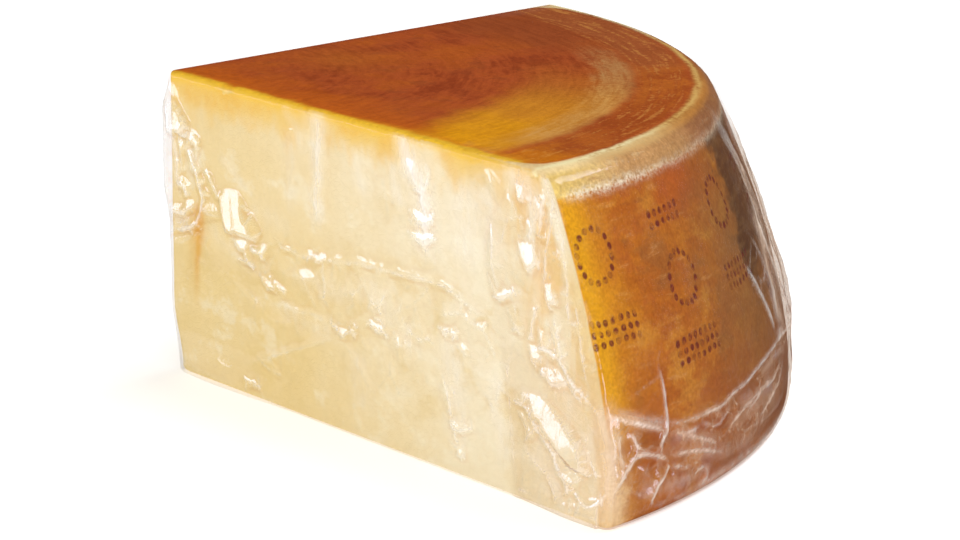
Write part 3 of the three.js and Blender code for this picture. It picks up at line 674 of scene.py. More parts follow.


# ------------------------------------------------------------------------------------------------
# Film: one closed skin, laid over the cheese with slack
# ------------------------------------------------------------------------------------------------
# Creases as (kind, points, height, half width, milkiness). kind "f" is a cut face seen from the front,
# with points (distance from the tip, height); "r" is the rind, with points (degrees, height).
CREASES = [
    # tip: the ear that stands off, and its folded foot
    ("f", [(10.8, 83.3), (15.0, 75.7), (18.7, 68.0), (19.7, 64.0), (17.3, 57.3), (13.3, 53.6), (8.0, 51.5), (3.2, 50.1)], 1.7, 1.3, 0.65),
    ("f", [(5.9, 68.3), (9.3, 67.2), (11.9, 63.2)], 1.2, 0.9, 0.9),
    ("f", [(1.1, 57.1), (7.9, 57.4), (12.0, 59.5), (15.8, 61.9)], 1.2, 1.2, 0.5),
    ("f", [(7.5, 85), (8.2, 78), (9.0, 71)], 0.8, 1.2, 0.25),
    # sharp standing fold
    ("f", [(41.5, 49.8), (44.0, 48.0), (47.9, 45.6)], 1.4, 1.0, 0.6),
    ("f", [(44.8, 52.5), (50.1, 52.3), (52.1, 49.3)], 1.3, 1.0, 0.6),
    ("f", [(22, 76), (25, 71), (29, 66)], 0.9, 1.2, 0.2),
    # overlap across the face
    ("f", [(49, 55), (60, 57), (72, 55.5), (82, 56.5), (93, 58), (103, 59.5), (121, 60), (133, 61),
           (143, 60.5), (151, 57.5), (160, 55), (168, 51), (174, 50)], 0.36, 1.1, 0.26),
    ("f", [(74, 55), (79, 57.5), (86, 57.5)], 0.7, 1.5, 0.5),
    ("f", [(60, 40), (64, 37), (70, 36), (79, 37), (86, 35)], 0.35, 1.8, 0.12),
    ("f", [(86, 37), (92, 34), (98, 37)], 0.6, 1.4, 0.35),
    ("f", [(104, 41), (110, 40), (116, 38)], 0.7, 1.8, 0.4),
    ("f", [(57, 44), (61, 42), (65, 41)], 0.7, 1.5, 0.2),
    ("f", [(124, 43), (130, 41), (136, 43)], 0.6, 1.3, 0.2),
    ("f", [(138, 47), (143, 47), (147, 45)], 0.6, 1.3, 0.25),
    ("f", [(44, 12), (58, 18), (74, 25), (90, 32)], 0.45, 0.9, 0.12),
    ("f", [(82, 55), (84, 48), (83, 42)], 0.7, 1.2, 0.2),
    ("f", [(98, 27), (103, 22), (108, 16)], 0.4, 3.0, 0.05),
    ("f", [(140, 33), (143, 27), (145, 19), (149, 8)], 0.55, 1.6, 0.25),
    ("f", [(144, 17), (150, 16), (156, 18)], 0.6, 1.2, 0.3),
    ("f", [(41, 7), (46, 6), (52, 5)], 0.6, 1.6, 0.3),
    ("f", [(48, 16), (54, 13), (62, 12)], 0.45, 1.6, 0.1),
    # soft upright waves under the top edge
    ("f", [(79, 105), (80, 96), (80, 86), (79, 78), (80, 66)], 0.55, 2.8, 0.10),
    ("f", [(121, 100), (127, 93), (131, 85), (132, 76), (133, 66)], 0.75, 3.0, 0.12),
    ("f", [(132, 99), (133, 92), (130, 88)], 0.5, 1.6, 0.15),
    ("f", [(124, 79), (130, 78), (137, 80)], 0.45, 1.1, 0.15),
    ("f", [(124, 73), (131, 75), (137, 74)], 0.45, 1.1, 0.15),
    ("f", [(112, 90), (114, 83), (115, 76)], 0.35, 2.0, 0.05),
    ("f", [(64, 102), (68, 90), (66, 76)], 0.30, 3.0, 0.03),
    # the folded-back edge of the film beside the rind
    ("f", [(173, 50), (170.5, 41), (171.5, 30), (173, 18), (175, 3)], 0.55, 0.8, 0.16),
    # dense upright pleats beside the rind
    ("f", [(172, 102), (175, 98), (180, 96)], 0.6, 1.1, 0.4),
    ("f", [(186, 102), (184, 95), (180, 88), (178, 81)], 0.9, 1.3, 0.35),
    ("f", [(176, 82), (179, 79), (181, 76)], 1.0, 1.3, 0.5),
    ("f", [(189, 99), (188, 90), (186, 80), (186, 70)], 0.8, 1.1, 0.3),
    ("f", [(192, 96), (193, 86), (195, 76), (196, 66), (198, 56)], 0.8, 1.0, 0.25),
    ("f", [(186, 72), (188, 69), (190, 66)], 1.0, 1.0, 0.5),
    ("f", [(164, 62), (169, 65), (174, 67)], 1.1, 1.0, 0.55),
    ("f", [(183, 66), (181, 58), (180, 51)], 0.8, 1.2, 0.3),
    ("f", [(190, 64), (192, 56), (195, 49), (199, 44), (204, 40)], 0.9, 1.1, 0.35),
    ("f", [(199, 70), (201, 60), (203, 50), (206, 42)], 0.7, 1.0, 0.2),
    # loose pocket near the foot of the rind's edge
    ("f", [(179.6, 48.0), (184.8, 51.4), (191.6, 49.8), (196.0, 45.8), (199.1, 42.9), (208.1, 37.6)], 1.4, 1.1, 0.85),
    ("f", [(193.3, 46.4), (198.5, 41.0), (203.6, 38.3)], 1.0, 1.0, 0.5),
    ("f", [(170.8, 31.4), (178.5, 31.1), (183.2, 25.7), (190.9, 18.8), (194.7, 15.4)], 1.2, 1.0, 0.7),
    ("f", [(184, 44), (188, 43), (191, 40)], 1.2, 1.4, 0.35),
    ("f", [(190.1, 18.6), (194.4, 13.0), (198.6, 7.6)], 1.2, 1.0, 0.7),
    ("f", [(198.5, 10.9), (206.1, 6.4), (214.6, 12.1)], 1.0, 1.0, 0.6),
    ("f", [(203, 27), (206, 22), (210, 16)], 1.1, 1.0, 0.4),
    ("f", [(186, 14), (190, 9), (194, 4)], 0.6, 1.4, 0.12),
    ("f", [(178, 18), (184, 13), (190, 12)], 0.5, 1.8, 0.08),
    # rind: edge of the film's second layer, and the creases that meet at it
    ("r", [(0.3, 37.4), (2.1, 35.0), (4.4, 32.0), (6.3, 29.4), (8.4, 27.0), (9.5, 26.1), (11.9, 25.4), (13.8, 25.3),
           (16.0, 24.8), (18.5, 26.6), (21.2, 27.0), (23.8, 28.2), (28, 29.2), (32.7, 29.4), (38, 28), (44, 27),
           (50, 29), (56, 26), (63, 28), (70, 27), (78, 29), (85, 33), (90.5, 37)], 1.05, 0.8, 0.75),
    ("r", [(0.2, 36.6), (2.0, 33.4), (4.3, 30.0), (6.7, 26.6), (7.8, 25.1)], 0.6, 1.0, 0.8),
    ("r", [(7.8, 25.3), (11.0, 20.2), (13.4, 16.5), (15.8, 12.6)], 0.5, 1.3, 0.35),
    ("r", [(7.7, 46), (7.7, 37.6), (7.6, 31.6), (7.5, 26.2), (6.7, 23.2), (6.3, 19.2), (5.8, 17.5)], 1.3, 0.75, 0.95),
    ("r", [(0.3, 12.0), (1.3, 15.2), (2.4, 19.1), (3.6, 21.4), (4.8, 20.4), (5.9, 19.0), (6.9, 17.4), (7.5, 15.5)], 1.1, 0.75, 0.85),
    ("r", [(7.5, 15.5), (6.8, 12.4), (5.7, 9.6), (5.1, 5.7), (5.3, 3.6)], 1.3, 0.9, 0.95),
    ("r", [(3.0, 29.0), (3.3, 25.6), (3.8, 22.2)], 0.9, 0.8, 0.55),
    ("r", [(7.4, 17.5), (9.7, 16.5), (12.1, 14.7), (16.2, 9.6)], 0.8, 1.1, 0.5),
    ("r", [(7.6, 14.2), (10.8, 10.8)], 0.6, 0.7, 0.35),
    ("r", [(10.9, 5.6), (11.4, 8.9), (12.7, 8.8), (13.1, 5.7), (11.9, 3.8)], 0.6, 0.8, 0.45),
    ("r", [(1.6, 30), (1.4, 24), (1.8, 18)], 0.9, 0.9, 0.45),
    ("r", [(2.0, 12.0), (4.2, 7.9), (5.5, 6.0)], 0.7, 0.9, 0.15),
    ("r", [(16.2, 14.8), (18.3, 18.4), (21.0, 20.0), (24.8, 21.2), (28.7, 21.5)], 1.0, 1.2, 0.35),
    ("r", [(19.5, 16.5), (22.4, 19.1), (25.3, 20.6), (28.6, 20.3), (33, 24)], 1.0, 1.1, 0.45),
    ("r", [(22.2, 11.5), (24.8, 13.8), (28.2, 16.0), (30.9, 18.3), (34, 23)], 1.0, 1.2, 0.40),
    ("r", [(12.2, 24), (14.5, 20), (16.5, 21.5), (18, 24)], 0.9, 1.0, 0.35),
    ("r", [(9.0, 24), (10.4, 22), (12.4, 22.5)], 0.7, 0.8, 0.35),
    ("r", [(16, 14), (21, 12), (28, 10), (34, 11)], 0.6, 1.6, 0.12),
    ("r", [(27.0, 60), (27.3, 58.1), (29.3, 46.4), (30.8, 38.0), (32.0, 31.9)], 1.4, 0.9, 0.95),
    ("r", [(31, 66), (32.5, 56), (33.5, 46), (34, 36)], 1.5, 1.1, 0.25),
    ("r", [(29.8, 51), (31.5, 50), (33, 52)], 0.8, 0.9, 0.3),
    ("r", [(33.7, 98), (35.0, 90), (35.7, 82.6), (35.7, 65.9), (36.6, 49.9), (36.5, 34.6)], 1.5, 1.1, 0.6),
    # pleats that stand off the middle of the rind
    ("r", [(36.5, 98), (37.5, 86), (38.5, 72), (39.5, 58), (39.5, 44), (39, 32)], 1.3, 2.2, 0.25),
    ("r", [(40, 90), (41.5, 74), (42.5, 58), (43, 42), (42.5, 28), (41, 14)], 1.5, 2.6, 0.25),
    ("r", [(44.5, 84), (46, 68), (47, 52), (47, 36), (46, 20)], 1.3, 2.6, 0.25),
    ("r", [(49, 92), (50.5, 78), (51.5, 60), (52, 44), (51, 30)], 1.1, 2.4, 0.25),
    ("r", [(55, 80), (57, 62), (57.5, 46)], 1.6, 1.6, 0.2),
    ("r", [(62, 76), (61, 58), (60, 40), (61, 30)], 1.2, 1.2, 0.25),
    ("r", [(70, 50), (71, 40), (70.5, 30), (72, 18), (71, 8)], 1.1, 0.8, 0.5),
    ("r", [(78, 62), (77, 50), (78, 40), (79, 30)], 1.0, 0.9, 0.4),
    ("r", [(83, 30), (84, 22), (82, 14), (84, 6)], 1.1, 0.9, 0.4),
    ("r", [(54, 22), (60, 20), (66, 23)], 0.9, 1.1, 0.2),
    ("r", [(72, 18), (77, 20), (83, 16), (88, 18)], 0.9, 1.0, 0.3),
    # the hidden cut face
    ("b", [(2.5, 96), (4, 84), (6, 72), (9, 62)], 1.3, 1.5, 0.4),
    ("b", [(14, 88), (18, 76), (17, 62), (20, 50)], 1.0, 1.6, 0.3),
    ("b", [(36, 52), (52, 55), (70, 54), (90, 57), (110, 56), (131, 58), (150, 55), (172, 50)], 0.95, 1.1, 0.30),
    ("b", [(60, 74), (66, 66), (74, 60), (80, 52)], 1.6, 1.8, 0.35),
    ("b", [(96, 104), (98, 92), (97, 80), (99, 66)], 0.6, 2.8, 0.1),
    ("b", [(140, 102), (137, 90), (139, 78), (137, 66)], 0.7, 2.6, 0.12),
    ("b", [(50, 30), (64, 26), (82, 29), (98, 22)], 0.6, 1.6, 0.15),
    ("b", [(110, 44), (118, 38), (128, 40)], 0.9, 1.5, 0.3),
    ("b", [(170, 52), (168, 38), (171, 22), (173, 4)], 0.55, 0.8, 0.16),
    ("b", [(178, 100), (182, 90), (181, 78), (184, 66)], 0.9, 1.2, 0.35),
    ("b", [(190, 98), (189, 84), (193, 70), (196, 56)], 0.9, 1.1, 0.3),
    ("b", [(178, 44), (186, 48), (194, 43), (204, 37)], 1.4, 1.2, 0.45),
    ("b", [(180, 32), (188, 31), (196, 26), (204, 19)], 2.3, 2.4, 0.3),
    ("b", [(188, 20), (194, 13), (203, 14)], 1.5, 1.3, 0.4),
    ("b", [(24, 20), (34, 14), (46, 12)], 0.7, 1.5, 0.2),
]


# Flat, tilted pieces of film: (kind, outline, slope along, slope up). A piece stands off most where its plane is highest.
PANELS = [
    ("f", [(2.2, 98.4), (3.6, 98.8), (6.2, 93.4), (11.2, 88.2), (10.2, 85.0), (6.4, 85.8), (1.8, 86.2)], 0.03, -0.24),
    ("f", [(11.8, 87.6), (18.2, 84.8), (17.0, 82.6), (11.0, 84.6)], 0.02, -0.22),
    ("f", [(28.9, 65.9), (33.2, 70.8), (34.7, 68.0), (36.0, 62.0), (35.4, 56.3), (31.8, 56.6)], 0.03, -0.23),
    ("f", [(35.8, 71.2), (38.9, 71.5), (40.3, 64.0), (46.0, 56.8), (36.8, 57.2), (37.4, 62.5)], 0.02, -0.24),
    ("f", [(36.2, 55.4), (44.9, 55.6), (41.6, 50.6), (38.4, 51.6)], 0.03, -0.21),
    ("f", [(50.5, 46.0), (55.8, 45.5), (57.0, 41.5), (54.6, 41.0), (52.0, 43)], 0.05, -0.18),
    ("f", [(163.5, 63), (166, 65.4), (172.5, 67.6), (171.5, 65.4), (167, 62.6)], 0.02, -0.24),
    ("f", [(172.5, 101), (175, 100.5), (175.8, 96), (173.6, 95.5)], -0.04, -0.22),
    ("f", [(174.5, 83), (180, 84), (182, 77.5), (178, 75), (175.5, 78)], 0.03, -0.23),
    ("f", [(185.5, 72), (188.5, 73), (190.5, 67), (187, 65.5)], 0.02, -0.24),
    ("f", [(179.5, 97), (184, 94), (183, 86), (180, 88)], 0.10, -0.10),
    ("f", [(179.5, 52), (183.5, 52.5), (185, 47), (181, 46)], 0.02, -0.22),
    ("f", [(178.8, 36.2), (184.6, 36.8), (194.0, 30.0), (200.2, 25.0), (202.0, 18.0), (197.2, 17.4), (188.8, 23.6), (182.6, 29.0)], 0.02, -0.24),
    ("f", [(184, 46), (189, 47), (194, 42), (189, 41)], 0.02, -0.22),
    ("f", [(193.0, 13.9), (201.3, 17.0), (203.4, 14.9), (197.8, 11.0)], 0.02, -0.24),
    ("f", [(174.5, 30), (178, 30), (182.4, 24.6), (180, 23)], 0.02, -0.22),
    ("f", [(188, 61), (190, 61), (194, 50), (192, 50)], 0.12, -0.12),
    ("f", [(78, 58.5), (83, 58), (82, 55.5), (79, 55.8)], 0.02, -0.24),
    ("f", [(90.5, 36.5), (94, 36.5), (93.5, 33.5), (91, 33.8)], 0.02, -0.24),
    ("f", [(96.2, 39), (99, 38), (98.4, 35), (96.4, 35.4)], 0.05, -0.24),
    ("f", [(106.5, 43), (112.5, 42), (112, 39), (107.5, 39.4)], 0.02, -0.22),
    ("f", [(139.5, 48.6), (143, 48.4), (142.5, 45.8), (140, 46)], 0.02, -0.24),
    ("f", [(144.4, 48.4), (147.4, 48), (147, 45.5), (145, 45.6)], 0.02, -0.24),
    ("f", [(144.5, 19), (150, 18.4), (149, 15.4), (145.5, 15.6)], 0.02, -0.22),
    ("f", [(147.4, 11), (151, 10.4), (150.4, 7), (148, 7.4)], 0.02, -0.24),
    ("f", [(43.0, 7.4), (46.6, 7.0), (46, 5.2), (43.6, 5.6)], 0.02, -0.20),
    ("f", [(124, 83), (131, 83.5), (136, 80), (130, 78)], 0.02, -0.16),
    ("f", [(123, 76), (131, 77), (137, 74.5), (130, 72.5)], 0.02, -0.17),
    ("f", [(62, 58), (67, 58.4), (66.5, 56.4), (62.4, 56.2)], 0.0, -0.18),
    ("b", [(1.8, 96), (4.0, 84), (10, 70), (7.0, 69.5), (2.6, 80)], 0.05, -0.24),
    ("b", [(58, 75), (63, 76), (70, 66), (80, 54), (76, 53), (66, 61)], 0.03, -0.23),
    ("b", [(176, 100), (181, 99), (182, 92), (178, 91)], 0.02, -0.23),
    ("b", [(180, 34), (184, 37), (195, 32), (203, 23), (200, 20), (190, 26)], 0.02, -0.25),
    ("b", [(186, 74), (190, 74), (192, 66), (188, 65)], 0.02, -0.22),
    ("b", [(196, 14), (201, 17), (208, 14), (204, 10)], 0.02, -0.24),
    ("b", [(104, 46), (110, 45), (109, 41.5), (105, 42)], 0.02, -0.24),
    ("b", [(120, 36), (125, 35.5), (124, 32.5), (121, 33)], 0.02, -0.24),
]

# Whitish bands in the film: some where it has been stretched, and some painted highlights that stand in for soft
# reflections, such as the upright bands under the top edge of the cut face and the strips along the rind's edges:
# (kind, points, half width, strength)
VEILS_AND_HIGHLIGHTS = [
    ("r", [(34.0, 104), (36.6, 88), (37.4, 66), (37.6, 46), (36.6, 30)], 3.4, 0.66),
    ("r", [(36.5, 74), (35.4, 60), (34.4, 48), (34.4, 38), (35.0, 29), (35.6, 24)], 4.6, 0.80),
    ("r", [(16, 18), (19.5, 16.5), (24, 17), (28, 19)], 2.4, 0.40),
    ("r", [(3, 10.5), (7.5, 8.4), (11, 8.0), (15, 9.0)], 2.4, 0.38),
    ("r", [(-0.4, 108), (-0.6, 98), (-0.9, 88), (-0.9, 80)], 1.8, 0.55),
    ("r", [(40, 103), (42, 84), (43, 60), (43, 34)], 6.0, 0.55),
    ("r", [(6, 2.4), (10.3, 2.9), (15.6, 3.4), (24.5, 3.3), (36, 3.0), (44, 3.0)], 1.7, 0.55),
    ("r", [(7.8, 24.6), (11.0, 20.0), (13.4, 16.3), (16.4, 12.0)], 2.6, 0.42),
    ("r", [(8.4, 15.8), (12.1, 13.4), (18, 9.5), (26, 8)], 3.0, 0.30),
    ("r", [(18.5, 23.5), (22.4, 18.6), (25.3, 16.6), (31, 16.3)], 4.0, 0.34),
    ("r", [(24, 25), (30, 26), (36, 24)], 1.6, 0.40),
    ("r", [(-0.6, 42), (0.0, 32), (0.2, 22), (0.0, 12), (0.0, 1)], 5.0, 0.66),
    ("r", [(0.6, 36.4), (4.4, 31), (7.6, 26)], 1.7, 0.60),
    ("f", [(206, 37), (208, 26), (210, 14), (211, 4)], 4.0, 0.40),
    ("f", [(3.3, 99.9), (4.9, 92), (6.2, 79), (6.7, 68), (10.8, 62.4)], 1.4, 0.72),
    ("f", [(3.7, 92.4), (8.5, 88.7), (17.9, 83.6)], 2.0, 0.55),
    ("r", [(31.6, 29.6), (33.2, 31.0), (35.0, 30.4)], 1.7, 0.75),
    ("f", [(4, 54), (9, 54.5), (14, 57.5)], 3.2, 0.42),
    ("f", [(184, 49), (190, 44), (198, 36), (204, 28)], 4.0, 0.42),
    ("f", [(178, 22), (186, 17), (193, 9), (200, 4)], 4.0, 0.30),
    ("f", [(180, 90), (184, 76), (186, 62)], 4.5, 0.30),
    ("f", [(80.5, 114), (80.5, 104), (81, 94), (80.5, 84), (80, 74), (81, 62)], 3.6, 0.55),
    ("f", [(78.6, 90), (79.2, 80), (80, 72)], 1.4, 0.45),
    ("f", [(119, 112), (122, 102), (126, 96), (130, 90), (132.5, 82), (133, 72), (132, 64)], 5.0, 0.85),
    ("f", [(170, 108), (176, 100), (182, 94), (187, 86)], 5.5, 0.50),
    ("f", [(62, 106), (70, 98), (74, 88)], 3.0, 0.24),
    ("f", [(20, 60), (34, 50), (46, 46), (60, 50)], 3.0, 0.18),
    ("f", [(100, 52), (112, 47), (124, 40), (132, 30)], 5.0, 0.26),
    ("f", [(117, 97), (118.5, 88), (120, 80)], 2.6, 0.35),
    ("f", [(133, 99), (133.5, 93), (131, 87)], 1.3, 0.5),
    ("f", [(96, 100), (99, 92), (103, 86), (108, 80)], 4.0, 0.22),
    ("f", [(64, 99), (66.5, 90), (66, 78), (68, 66)], 4.0, 0.20),
    ("f", [(150, 99), (152, 88), (151, 76), (149, 66)], 7.0, 0.32),
    ("f", [(160, 96), (161, 84), (163, 72)], 6.0, 0.30),
    ("f", [(100, 32), (101, 24), (102, 14), (103, 6)], 5.5, 0.24),
    ("f", [(143, 48), (146, 36), (148, 22), (150, 6)], 5.0, 0.38),
    ("f", [(168, 40), (166, 28), (170, 14), (172, 3)], 4.0, 0.28),
    ("f", [(42, 66), (50, 66), (60, 65), (70, 62)], 3.4, 0.16),
    ("f", [(28, 84), (34, 78), (42, 74), (50, 68)], 2.2, 0.16),
    ("f", [(60, 50), (74, 48), (90, 47), (108, 50), (126, 52)], 4.0, 0.22),
    ("f", [(56, 39), (68, 34), (82, 33), (96, 36)], 3.4, 0.22),
    ("f", [(8, 92), (12, 84), (17, 76)], 3.5, 0.22),
    ("b", [(96, 103), (98, 92), (97, 80), (99, 66)], 4.0, 0.45),
    ("b", [(140, 101), (137, 90), (139, 78), (137, 66)], 4.2, 0.45),
    ("b", [(60, 48), (82, 47), (110, 50), (140, 49)], 4.0, 0.20),
    ("b", [(28, 40), (30, 26), (29, 10)], 4.0, 0.25),
    ("b", [(150, 44), (152, 30), (153, 8)], 5.0, 0.30),
]

# Clear places on the lower rind: (degrees, height, half width, half height)
CLINGS = [(5.1, 25.3, 4.5, 2.6), (4.8, 18.0, 4.5, 1.9), (2.3, 24.7, 2.6, 3.0), (8.6, 21.4, 3.0, 2.0), (12.4, 22.4, 6.0, 2.0),
          (15.7, 20.0, 5.0, 2.2), (12.7, 11.0, 4.0, 2.6), (3.9, 9.6, 6.0, 2.2), (9.0, 8.0, 5.0, 2.4), (21.0, 23.6, 7.0, 2.4),
          (27.0, 19.0, 7.0, 1.8), (31.0, 26.0, 7.0, 1.6), (30.0, 9.0, 9.0, 2.0), (50.0, 20.0, 9.0, 3.0), (62.0, 16.0, 8.0, 3.0),
          (75.0, 22.0, 7.0, 3.0), (84.0, 12.0, 6.0, 3.0)]

CREASE_SCALE = 0.72
S_TIP, S_CUT, S_CORNER, S_SIDE = 12.0, 210.0, 8.0, 318.0
S_RIND = S_CUT + S_CORNER              # where the rind starts in the unrolled film
S_BACK = S_RIND + S_SIDE + S_CORNER    # where the second cut face starts
S_END = S_BACK + S_CUT


def cut_ends(z):
    """Where the flat part of a cut face starts and ends, and the angle where the rind starts."""
    z = np.asarray(z, float)
    e = cut_inset(z)
    start = e + np.maximum(0.4, tip_round(z) - e)
    rc = np.maximum(0.5, CORNER_ROUND - 0.5 * rounded(PLATE_ROUND, HEIGHT - z))
    reach = np.sqrt((side_radius(z) - rc) ** 2 - (e + rc) ** 2)
    return start, reach, np.degrees(np.arctan2(e + rc, reach))


def to_s(kind, a, z):
    """Place in the unrolled film of a point given by its distance from the tip, or by its angle on the rind."""
    start, end, turn = cut_ends(z)
    if kind == "f":
        return (a - start) / (end - start) * S_CUT
    if kind == "b":
        return S_BACK + (1 - (a - start) / (end - start)) * S_CUT
    return S_RIND + (a - turn) / (90 - 2 * turn) * S_SIDE


def unroll(P, G, W):
    x, y, z = P[..., 0], P[..., 1], P[..., 2]
    az = np.degrees(np.arctan2(y, x))
    g = np.broadcast_to(G[None, :], z.shape)
    w = np.broadcast_to(W[None, :], z.shape)
    s = np.select([g == TIP, g == FRONT, g == CORNER_A, g == RIND, g == CORNER_B],
                  [-S_TIP * (1 - w), to_s("f", x, z), S_CUT + w * S_CORNER, to_s("r", az, z), S_RIND + S_SIDE + w * S_CORNER],
                  to_s("b", y, z))
    return s, az


def smooth_path(pts, n=5):
    """Catmull-Rom points through a path."""
    p = np.array(pts, float)
    if len(p) < 3:
        return p
    q = np.vstack([2 * p[0] - p[1], p, 2 * p[-1] - p[-2]])
    out = []
    for i in range(1, len(q) - 2):
        for t in np.arange(n) / n:
            a, b, c, d = q[i - 1], q[i], q[i + 1], q[i + 2]
            out.append(0.5 * ((2 * b) + (-a + c) * t + (2 * a - 5 * b + 4 * c - d) * t * t + (-a + 3 * b - 3 * c + d) * t ** 3))
    out.append(p[-1])
    return np.array(out)


def even_steps(p, step):
    """Points at even steps along a path, and their place along it from 0 to 1."""
    d = np.concatenate([[0], np.cumsum(np.hypot(*np.diff(p, axis=0).T))])
    n = max(2, int(round(d[-1] / step)) + 1)
    t = np.linspace(0, d[-1], n)
    return np.column_stack([np.interp(t, d, p[:, 0]), np.interp(t, d, p[:, 1])]), t / d[-1], d[-1]


def near_path(s, z, path, reach):
    """Grid points near a path: their indices, distance and place along it."""
    lo, hi = path.min(0) - reach, path.max(0) + reach
    where = np.nonzero((s > lo[0]) & (s < hi[0]) & (z > lo[1]) & (z < hi[1]))
    px, pz = s[where], z[where]
    best = np.full(px.shape, 1e9)
    place = np.zeros(px.shape)
    n = len(path) - 1
    for i in range(n):
        (ax, az), (bx, bz) = path[i], path[i + 1]
        dx, dz = bx - ax, bz - az
        L2 = dx * dx + dz * dz + 1e-9
        t = np.clip(((px - ax) * dx + (pz - az) * dz) / L2, 0, 1)
        dist = np.hypot(px - ax - dx * t, pz - az - dz * t)
        better = dist < best
        best = np.where(better, dist, best)
        place = np.where(better, (i + t) / n, place)
    return where, best, place


def zone_sizes(s, z):
    """Spacing along and up, and height, of the film's folds at a place of the unrolled film."""
    s, z = np.asarray(s, float), np.asarray(z, float)
    mirrored = s > S_RIND + S_SIDE / 2
    f = np.where(mirrored, S_END - s, s)          # distance from the tip along the film, on either side
    az = np.clip((f - S_RIND) / S_SIDE * 90, 0, 45)
    ledge = 27 + 11 * smooth(9, 0, az) + 3 * smooth(20, 34, az)
    on_rind = f > S_RIND - 1
    beside = (f > S_CUT - 38) & ~on_rind
    tip = (f < 24) & (z > 46) & (z < 99)
    overlap = (f > 42) & (f < 170) & (z > 26) & (z < 62)
    lower = on_rind & (z < ledge)
    middle = on_rind & ~lower & (az > 31)
    kinds = [tip, beside, overlap, lower, middle, on_rind]
    du = np.select(kinds, [5.0, 4.4, 7.0, 7.0, 8.0, 16.0], 15.0)
    dz = np.select(kinds, [8.0, 9.5, 5.5, 5.0, 30.0, 16.0], 15.0)
    amp = np.select(kinds, [1.25, 1.15, 0.75, 0.95, 1.10, 0.04], 0.25)
    number = np.select(kinds, [1, 2, 3, 4, 5, 6], 0)
    return du, dz, amp, number


def inside(poly, u, v):
    """Which places lie inside a polygon of the unrolled film."""
    c = np.zeros(u.shape, bool)
    x0, y0 = poly[-1]
    for x1, y1 in poly:
        c ^= ((y1 > v) != (y0 > v)) & (u < (x0 - x1) * (v - y1) / (y0 - y1 + 1e-12) + x1)
        x0, y0 = x1, y1
    return c


LEAN = 1.07      # what stands off a cut face by 1 was seen this much nearer the tip, and is put back by as much


def panel_shape(kind, outline_pts, gx, gz):
    """Border of a flat piece in the unrolled film, the heights there, and its slopes."""
    o = np.array(outline_pts, float)
    o = np.column_stack([to_s(kind, o[:, 0], o[:, 1]), o[:, 1]])
    gx, gz = (-gx if kind == "b" else gx) * 0.80, gz * 0.80
    p = even_steps(np.vstack([o, o[:1]]), 1.7)[0][:-1]
    h = gx * p[:, 0] + gz * p[:, 1]
    low = h.min()
    h = np.minimum(h - low, 3.2)
    lean = LEAN if kind == "f" else -LEAN
    return p, h, gx, gz, low, lean


def panel_border(panel):
    p, h, _, _, _, lean = panel_shape(*panel)
    return np.column_stack([p[:, 0] + lean * h, p[:, 1]])


def off_panels(p):
    """True for points that lie on none of the flat pieces."""
    keep = np.ones(len(p), bool)
    for border in PANEL_BORDERS:
        keep &= ~inside(border, p[:, 0], p[:, 1])
    return keep


PANEL_BORDERS = [panel_border(panel) for panel in PANELS]


